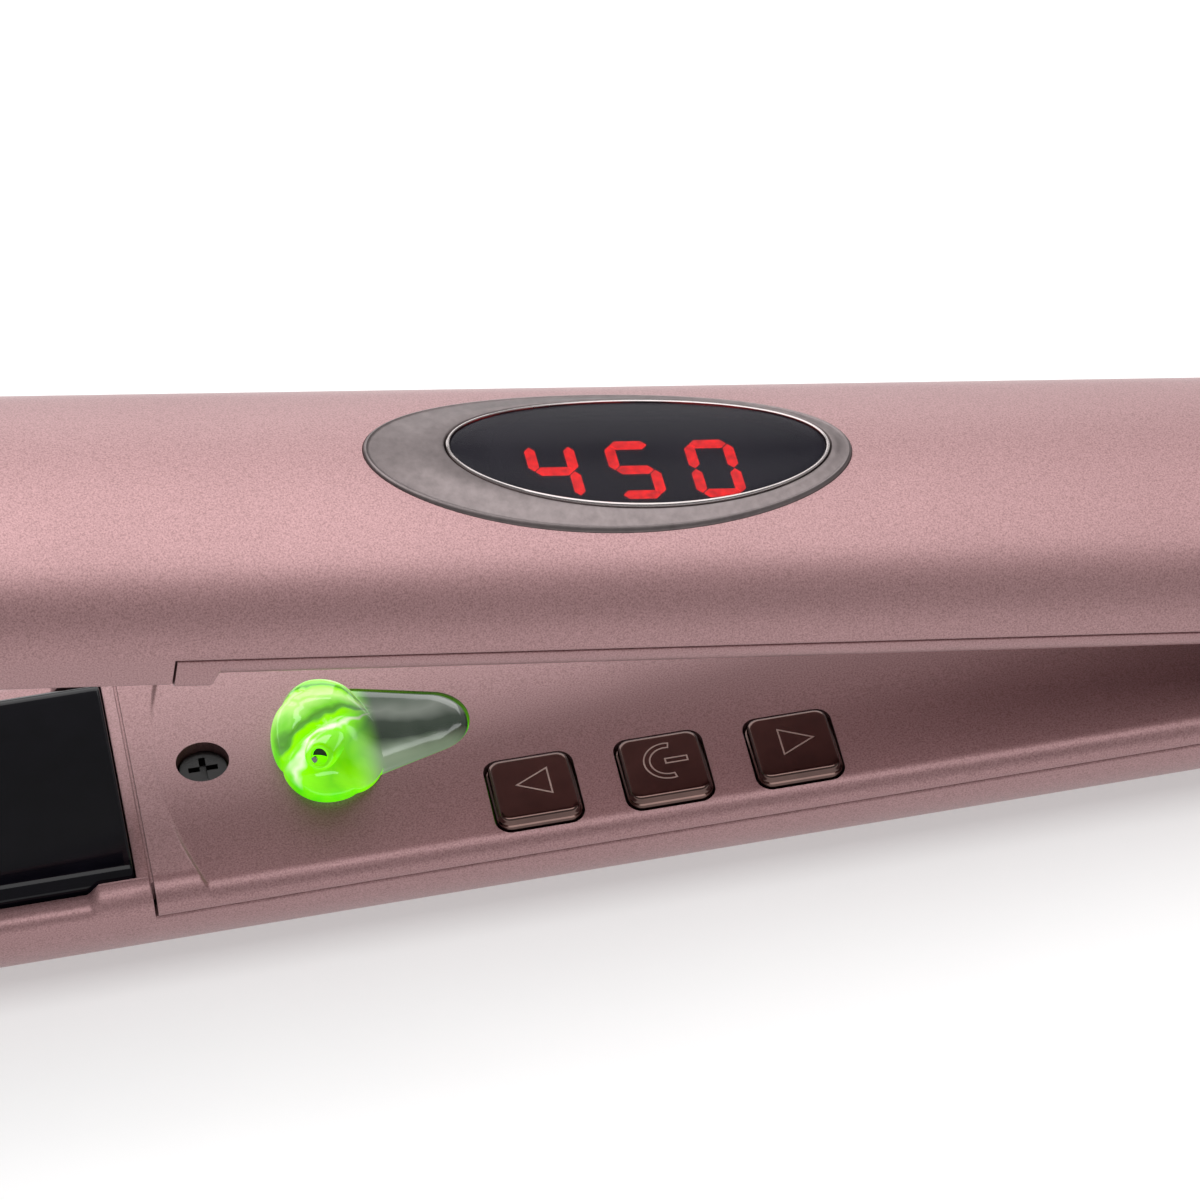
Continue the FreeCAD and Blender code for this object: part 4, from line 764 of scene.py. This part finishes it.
def cover_loop(x, arm, main, land):
    """A cover's closed section; its ends step back where the upper housing's rim reaches on."""
    points = []

    def along(y):
        """Where along the arm a point of this section lies."""
        if arm == LOWER or abs(y) < HALF_WIDTH - WALL - 0.2 or x > LAND_END:
            return x
        share = (x + COVER_END) / (LAND_END + COVER_END)
        return -COVER_END + RIM_REACH + share * (LAND_END + COVER_END - RIM_REACH)

    for (y, depth), raised in zip(main, land):
        crease = CREASE - CREASE_BOW * (1 - (y / HALF_WIDTH) ** 2)
        width = 0.4 + 0.5 * float(smoothstep((abs(y) - 14.0) / 2.0))
        place = along(y)
        weight = float(smoothstep((place - crease) / width + 0.5))
        points.append((place, y, arm * (raised * (1 - weight) + depth * weight)))
    inner = HALF_WIDTH - WALL
    points.append((along(-inner), -inner, arm * (SEAM - 0.04)))
    for y in np.linspace(-inner, inner, 12):
        bottom = COVER_TOP + COVER_SKIN + 0.75 * (y / inner) ** 2
        points.append((along(y), y, arm * bottom))
    points.append((along(inner), inner, arm * (SEAM - 0.04)))
    return points


def egg(grow):
    """Egg outline of the ion window in plan, its wide end towards the tips."""
    big_x, big, small_x, small, middle = -123.0, 6.2, -115.1, 4.0, 0.5
    lean = math.acos((big - small) / (small_x - big_x))
    points = []
    for t in np.linspace(-lean, lean, 20, endpoint=False):
        points.append((small_x + (small + grow) * math.cos(t),
                       middle + (small + grow) * math.sin(t)))
    for t in np.linspace(lean, 2 * math.pi - lean, 40, endpoint=False):
        points.append((big_x + (big + grow) * math.cos(t), middle + (big + grow) * math.sin(t)))
    return points


def button_centre(name):
    """A button's middle in plan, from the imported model."""
    low, high = box_mm(name)
    return ((low + high) / 2 - HINGE)[:2]


def cover(arm):
    """A handle's inner cover, with the openings for what it carries or makes room for."""
    tag = "lower" if arm == LOWER else "upper"
    main = cover_profile()
    land = land_profile(main, arm)
    stations = [*np.linspace(-COVER_END, LAND_END, 60), *np.linspace(-135, -COVER_TAIL, 40)]
    piece = loft(f"{tag}_cover_skin", [cover_loop(x, arm, main, land) for x in stations],
                 arm, shaded_cover_paint)
    outlines = []
    if arm == LOWER:
        for name in BUTTONS:
            x, y = button_centre(name)
            outlines.append(rounded_square(x, y, *BUTTON_HOLE))
        outlines.append(egg(0.12))
    outlines.append(ellipse(SCREW_AT, 0, SCREW_RECESS, SCREW_RECESS, 48))
    if arm == UPPER:
        x, y, radius = BULB_DISH
        outlines.append(ellipse(x, y, radius, radius, 48))
    low, high = (-6, 2) if arm == LOWER else (-2, 6)
    for outline in outlines:
        combine(piece, prism("hole", outline, low, high, arm, shaded_cover_paint), "DIFFERENCE")
    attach(piece, body_name(arm))
    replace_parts(piece, f"{tag}_inner_cover")


# ---------------------------------------------------------------- camera, floor and lights

LENS = 157.33
VIEW_DISTANCE = 0.52264
VIEW_AZIMUTH = math.radians(10.306)
VIEW_ELEVATION = math.radians(45.370)
VIEW_ROLL = math.radians(-1.692)
VIEW_TARGET = Vector((-95.43, 12.63, -0.10)) * MM + Vector(HINGE) * MM


def camera():
    """The photograph's camera: close, from the front and above, with a slight roll."""
    data = bpy.data.cameras.new("camera")
    data.lens = LENS
    data.sensor_width = 36.0
    data.clip_start = 0.01
    item = bpy.data.objects.new("camera", data)
    bpy.context.scene.collection.objects.link(item)
    ahead = Vector((math.sin(VIEW_AZIMUTH) * math.cos(VIEW_ELEVATION),
                    math.cos(VIEW_AZIMUTH) * math.cos(VIEW_ELEVATION),
                    -math.sin(VIEW_ELEVATION)))
    item.location = VIEW_TARGET - ahead * VIEW_DISTANCE
    item.rotation_mode = "QUATERNION"
    level = ahead.to_track_quat("-Z", "Y")
    item.rotation_quaternion = level @ Matrix.Rotation(VIEW_ROLL, 3, "Z").to_quaternion()
    bpy.context.scene.camera = item


def area_light(name, place, aim, power, size_x, size_y):
    """A rectangular light in metres and watts, aimed at a point."""
    data = bpy.data.lights.new(name, "AREA")
    data.energy = power
    data.shape = "RECTANGLE"
    data.size = size_x
    data.size_y = size_y
    item = bpy.data.objects.new(name, data)
    item.location = place
    item.rotation_mode = "QUATERNION"
    item.rotation_quaternion = (Vector(aim) - Vector(place)).to_track_quat("-Z", "Y")
    bpy.context.scene.collection.objects.link(item)


def stage():
    """Light table under a soft overhead panel, with a lower panel behind the object."""
    floor_white = surface("floor", (0.56, 0.56, 0.56), 0.01, 0.85, 0.05, 0.0, 40.0, 0.0,
                          Emission_Color=(1, 1, 1, 1), Emission_Strength=0.42)
    half, level = 4.0, -0.0005
    mesh = bpy.data.meshes.new("floor")
    mesh.from_pydata([(-half, -half, level), (half, -half, level), (half, half, level),
                      (-half, half, level)], [], [(0, 1, 2, 3)])
    floor = bpy.data.objects.new("floor", mesh)
    floor.data.materials.append(floor_white)
    bpy.context.scene.collection.objects.link(floor)
    world = bpy.data.worlds.new("studio")
    world.use_nodes = True
    world.node_tree.nodes["Background"].inputs["Color"].default_value = (1, 1, 1, 1)
    world.node_tree.nodes["Background"].inputs["Strength"].default_value = 0.31
    bpy.context.scene.world = world
    bpy.context.scene.view_settings.view_transform = "Standard"
    centre = VIEW_TARGET
    area_light("overhead", centre + Vector((0.0, 0.08, 0.9)), centre, 13.0, 1.25, 1.25)
    area_light("backdrop", centre + Vector((0.0, 1.3, 0.55)), centre, 7.0, 1.6, 0.8)


# ---------------------------------------------------------------- heater plates

def heater_plate(arm):
    """Glossy plate with rounded long edges, softened ends and two hidden rails."""
    tag = "lower" if arm == LOWER else "upper"
    base = PLATE_GAP + PLATE_THICK

    def section(x, inset, sink):
        top = PLATE_GAP + sink
        half = PLATE_HALF - inset
        points = [(half, base)]
        for t in np.linspace(0, math.pi / 2, 12):
            points.append((half - PLATE_EDGE * (1 - math.cos(t)),
                           top + PLATE_EDGE * (1 - math.sin(t))))
        points += [(y, top) for y in np.linspace(half - 3, 0, 4)]
        points += [(-y, z) for y, z in reversed(points[:-1])]
        return [(x, y, arm * z) for y, z in points]

    softened = [(0.0, 0.3), (0.05, 0.16), (0.16, 0.05), (0.35, 0.0)]
    rows = [section(-PLATE_FAR + x, sink * 0.5, sink) for x, sink in softened]
    rows += [section(x, 0.0, 0.0) for x in np.linspace(-PLATE_FAR + 1, -PLATE_NEAR - 1, 12)]
    rows += [section(-PLATE_NEAR - x, sink * 0.5, sink) for x, sink in reversed(softened)]
    piece = loft(f"{tag}_plate_face", rows, arm, plate_black)
    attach(piece, f"{tag}_plate")
    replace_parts(piece, f"{tag}_plate")
    for side in (-1, 1):
        low, high = sorted((side * RAIL_INNER, side * RAIL_OUTER))
        rail = block(f"{tag}_rail_{'left' if side > 0 else 'right'}",
                     (-PLATE_FAR + 1.5, -PLATE_NEAR - 1.5), (low, high),
                     (arm * (base - 0.2), arm * RAIL_DEPTH), arm, plate_black)
        bevel(rail, 0.15)
        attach(rail, f"{tag}_plate")


# ---------------------------------------------------------------- buttons

def ribbon(name, path, width, low, high, closed, arm, material):
    """A flat strip of one width between two heights along a plan path, mitred at its corners."""
    path = [np.array(p, float) for p in path]
    count = len(path)
    loops = []
    for i, here in enumerate(path):
        before = path[i - 1] if (i > 0 or closed) else here
        after = path[(i + 1) % count] if (i < count - 1 or closed) else here
        first, second = unit(here - before), unit(after - here)
        first = second if first is None else first
        second = first if second is None else second
        mean = unit(first + second)
        side = np.array((-mean[1], mean[0])) * width / 2 / max(mean @ first, 0.35)
        inner, outer = here - side, here + side
        loops.append([(*inner, low), (*outer, low), (*outer, high), (*inner, high)])
    if closed:
        loops.append(loops[0])
    return loft(name, loops, arm, material, capped=not closed)


def icon_paths(name):
    """Plan outlines of a button's sign about the middle of its top: (path, closed)."""
    if name == "temp_down_button":
        return [([(1.6, 1.95), (1.6, -1.35), (-1.6, 0.3)], True)]
    if name == "temp_up_button":
        return [([(-1.2, 1.95), (-1.2, -1.35), (2.0, 0.3)], True)]
    x, y, outer, inner = 0.4, 0.3, 2.3, 1.72
    span = np.radians(np.linspace(78, 282, 32))
    arc = [(x + outer * math.cos(t), y + outer * math.sin(t)) for t in span]
    arc += [(x + inner * math.cos(t), y + inner * math.sin(t)) for t in reversed(span)]
    bar = [(0.2, y + 0.3), (2.35, y + 0.3), (2.35, y - 0.3), (0.2, y - 0.3)]
    return [(arc, True), (bar, True)]


def button(name):
    """Polished cap: flat top, rounded edge, stepped wall, and its sign in fine lines."""
    x, y = button_centre(name)
    # (half width, height, corner radius) from the skirt up to the top
    profile = [(4.2, -3.4, 1.3), (4.2, -1.14, 1.3), (4.18, -1.08, 1.28), (4.02, -1.0, 1.19),
               (3.99, -0.94, 1.17), (3.96, -0.62, 1.14), (3.94, -0.47, 1.12), (3.89, -0.36, 1.08),
               (3.82, -0.285, 1.03), (3.66, -0.215, 0.93), (3.52, -0.201, 0.86),
               (3.4, -0.2, 0.82), (2.0, -0.2, 0.5)]
    loops = [[(a, b, z) for a, b in rounded_square(x, y, half, corner)]
             for half, z, corner in profile]
    cap = loft(f"{name}_cap", loops, LOWER, bronze, smooth=25.0)
    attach(cap, name)
    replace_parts(cap, name)
    for index, (path, closed) in enumerate(icon_paths(name)):
        line = ribbon(f"{name}_sign{index}", [(x + a, y + b) for a, b in path], 0.15, -0.26,
                      -0.165, closed, LOWER, icon_bronze)
        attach(line, name)


# ---------------------------------------------------------------- display

def crown(y):
    """Height of the upper arm's own outside above the meeting plane, near its centre line."""
    return CROWN_CENTRE + math.sqrt(CROWN_RADIUS ** 2 - y * y)


def oval_point(oval, turn, grow=0.0):
    x, y, long, wide = oval
    return x + (long + grow) * math.cos(turn), y + (wide + grow) * math.sin(turn)


def oval_ring(name, rows, material):
    """A closed ring; each row gives (share from outer to inner oval, grow, lift)."""
    loops = []
    for turn in full_turn(144):
        loop = []
        for share, grow, lift in rows:
            outer = oval_point(OUTER_OVAL, turn, grow)
            inner = oval_point(LENS_OVAL, turn, grow)
            x = outer[0] * (1 - share) + inner[0] * share
            y = outer[1] * (1 - share) + inner[1] * share
            loop.append((x, y, crown(y) + lift))
        loops.append(loop)
    loops.append(loops[0])
    return loft(name, loops, UPPER, material, capped=False)


def display():
    """Gunmetal bezel, thin bright ring and smoked lens over the digits."""
    bezel = oval_ring("bezel_plate", [
        (0, 0.0, -1.8), (0, 0.0, -0.05), (0, -0.04, 0.12), (0, -0.14, 0.24), (0, -0.3, 0.30),
        (0, -0.45, 0.22), (0, -0.62, 0.20), (0.5, -0.1, 0.26), (1, 0.75, 0.30), (1, 0.6, 0.26),
        (1, 0.48, 0.1), (1, 0.46, -1.8)], gunmetal)
    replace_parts(bezel, "display_bezel")
    ring = oval_ring("lens_ring", [
        (1, 0.40, -1.3), (1, 0.40, 0.2), (1, 0.36, 0.34), (1, 0.27, 0.41), (1, 0.16, 0.41),
        (1, 0.07, 0.34), (1, 0.03, 0.2), (1, 0.03, -1.3)], silver)
    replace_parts(ring, "display_trim_ring")
    centre = np.array(LENS_OVAL[:2])
    loops = []
    for scale, lift in ((0.001, -1.0), (0.5, -1.0), (1.0, -1.0), (1.0, 0.1), (0.994, 0.2),
                        (0.98, 0.24), (0.9, 0.25), (0.75, 0.25), (0.6, 0.25), (0.45, 0.25),
                        (0.3, 0.25), (0.15, 0.25), (0.001, 0.25)):
        loop = []
        for turn in full_turn(128):
            x, y = centre + (oval_point(LENS_OVAL, turn) - centre) * scale
            loop.append((x, y, crown(y) + lift))
        loops.append(loop)
    glass = loft("lens_glass", loops, UPPER, lens_dark)
    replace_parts(glass, "display_lens")
    for piece in (bezel, ring, glass):
        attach(piece, "upper_arm")


# ---------------------------------------------------------------- ion outlet

def fold(x, y):
    """How far up its own rounded lobe a point of the bulb lies, from 0 to 1."""
    dx, dy = x - APEX[0], y - APEX[1]
    angle = math.degrees(math.atan2(dy, dx)) % 360
    height = 0.0
    for middle, width in FOLDS:
        away = abs(angle - middle) / (width / 2)
        if away < 1:
            height = max(height, math.sqrt(1 - away * away))
    if angle < 128 or angle > 279:
        height = max(height, 0.35)
    return height * min(math.hypot(dx, dy) / 7.0, 1.0)


def squared(value):
    """Pushes a cosine or sine outwards, which makes an ellipse squarer."""
    return math.copysign(abs(value) ** 0.9, value)


def ion_window():
    """Clear egg-shaped window, nearly flush with the cover."""
    outline = np.array(egg(0.0))
    middle = np.array((-120.0, 0.5))
    loops = []
    for scale, z in ((1.0, -3.2), (1.0, -1.3), (0.99, -0.95), (0.96, -0.72), (0.90, -0.58),
                     (0.8, -0.52), (0.6, -0.48), (0.35, -0.46), (0.02, -0.45)):
        loops.append([(*(middle + (p - middle) * scale), z) for p in outline])
    return loft("ion_window", loops, LOWER, ion_clear_painted_glow, smooth=60.0)


def ion_bulb():
    """The folded bulb, highest at its heart and sinking into the window towards the hinge."""
    heart = np.array(HEART)
    loops = []
    for scale in (1.0, 0.995, 0.98, 0.95, 0.91, 0.86, 0.8, 0.73, 0.65, 0.56, 0.46, 0.35, 0.22,
                  0.1, 0.01):
        loop = []
        for turn in full_turn(144):
            reach = np.array((BULB_REACH[0] * squared(math.cos(turn)),
                              BULB_REACH[1] * squared(math.sin(turn))))
            lobe = fold(*(heart + reach))
            x, y = heart + reach * scale * (0.91 + 0.09 * lobe)
            dome = BULB_HEIGHT * math.sqrt(max(1 - scale ** 2.4, 0.0))
            lift = dome * (0.74 + 0.26 * fold(x, y))
            slope = 1.0 - 0.93 * float(smoothstep((x + 125.5 - 0.5 * max(y, 0.0)) / 6.2))
            far = 1.0 + 0.4 * float(smoothstep((y - 0.5) / 5.0))
            loop.append((x, y, -0.62 + lift * slope * far))
        loops.append(loop)
    loops.insert(0, [(*point[:2], -1.6) for point in loops[0]])
    return loft("ion_bulb", loops, LOWER, ion_clear_painted_glow, smooth=70.0)


def ion_nozzle():
    """The bulb's small open nozzle, and a black sleeve down its bore: painted shade inside the
    hole.
    """
    aim = unit(np.array(NOZZLE_AIM))
    side = unit(np.cross(aim, (0, 0, 1)))
    up = np.cross(side, aim)

    def circle(along, radius, count):
        return [NOZZLE_ROOT + aim * along + radius * (side * math.cos(t) + up * math.sin(t))
                for t in full_turn(count)]

    profile = [(2.3, 0.0), (2.0, 2.0), (1.65, 3.3), (1.45, 3.9), (1.3, 4.2), (1.1, 4.32),
               (0.9, 4.28), (0.8, 4.1), (0.78, 3.0), (0.78, 1.2)]
    nozzle = loft("ion_nozzle", [circle(along, radius, 48) for radius, along in profile],
                  LOWER, ion_clear_painted_glow, smooth=60.0)
    # painted shade: the black sleeve stands in for the shade inside the nozzle's bore
    bore_shade = loft("ion_bore_shade", [circle(along, BORE_SHADE_RADIUS, 32) for along in (1.3, 3.5)],
                  LOWER, gland_black)
    return nozzle, bore_shade


def ion_outlet():
    """The window, its bulb and the nozzle, which all ride on the lower arm."""
    window = ion_window()
    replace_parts(window, "ion_outlet")
    for piece in (window, ion_bulb(), *ion_nozzle()):
        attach(piece, "lower_arm")


# ---------------------------------------------------------------- hinge and tail

def hinge_cap(side):
    """Domed cap over one end of the pin, turned about the hinge."""
    profile = [(14.8, 6.93), (15.75, 6.93), (15.93, 6.8), (15.98, 6.55), (15.98, 5.9),
               (15.86, 5.7), (15.86, 5.3), (15.95, 5.1), (15.99, 3.0), (16.0, 0.02)]
    loops = [[(radius * math.cos(t), side * y, radius * math.sin(t)) for t in full_turn(96)]
             for y, radius in profile]
    cap = loft(f"hinge_cap_{'left' if side > 0 else 'right'}", loops, UPPER, bronze)
    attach(cap, "upper_arm")
    return cap


def gland():
    """Ridged cord gland that turns in the lower arm's knuckle."""
    profile = [(8.0, 3.35), (8.0, 5.1), (8.2, 5.3), (10.4, 5.3), (10.6, 5.1), (10.6, 4.25),
               (14.3, 4.25), (14.3, 4.7), (14.5, 4.9), (15.0, 4.9), (15.1, 4.75), (15.3, 4.75),
               (15.4, 4.9), (15.9, 4.9), (16.0, 4.75), (16.15, 4.75), (16.25, 4.85),
               (16.4, 4.7), (16.5, 4.4), (16.5, 3.7), (16.35, 3.4), (16.2, 3.3), (8.0, 3.3)]
    loops = [[(along, radius * math.cos(t), radius * math.sin(t)) for t in full_turn(96)]
             for along, radius in profile + profile[:1]]
    piece = loft("gland_turned", loops, LOWER, gland_black, capped=False)
    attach(piece, "swivel_gland")
    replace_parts(piece, "swivel_gland")


# ---------------------------------------------------------------- the whole object

camera()
stage()
for make in (housing, cover, heater_plate):
    make(LOWER)
    make(UPPER)
for part in BUTTONS:
    button(part)
display()
ion_outlet()
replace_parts(hinge_cap(1), "hinge_caps")
hinge_cap(-1)
gland()
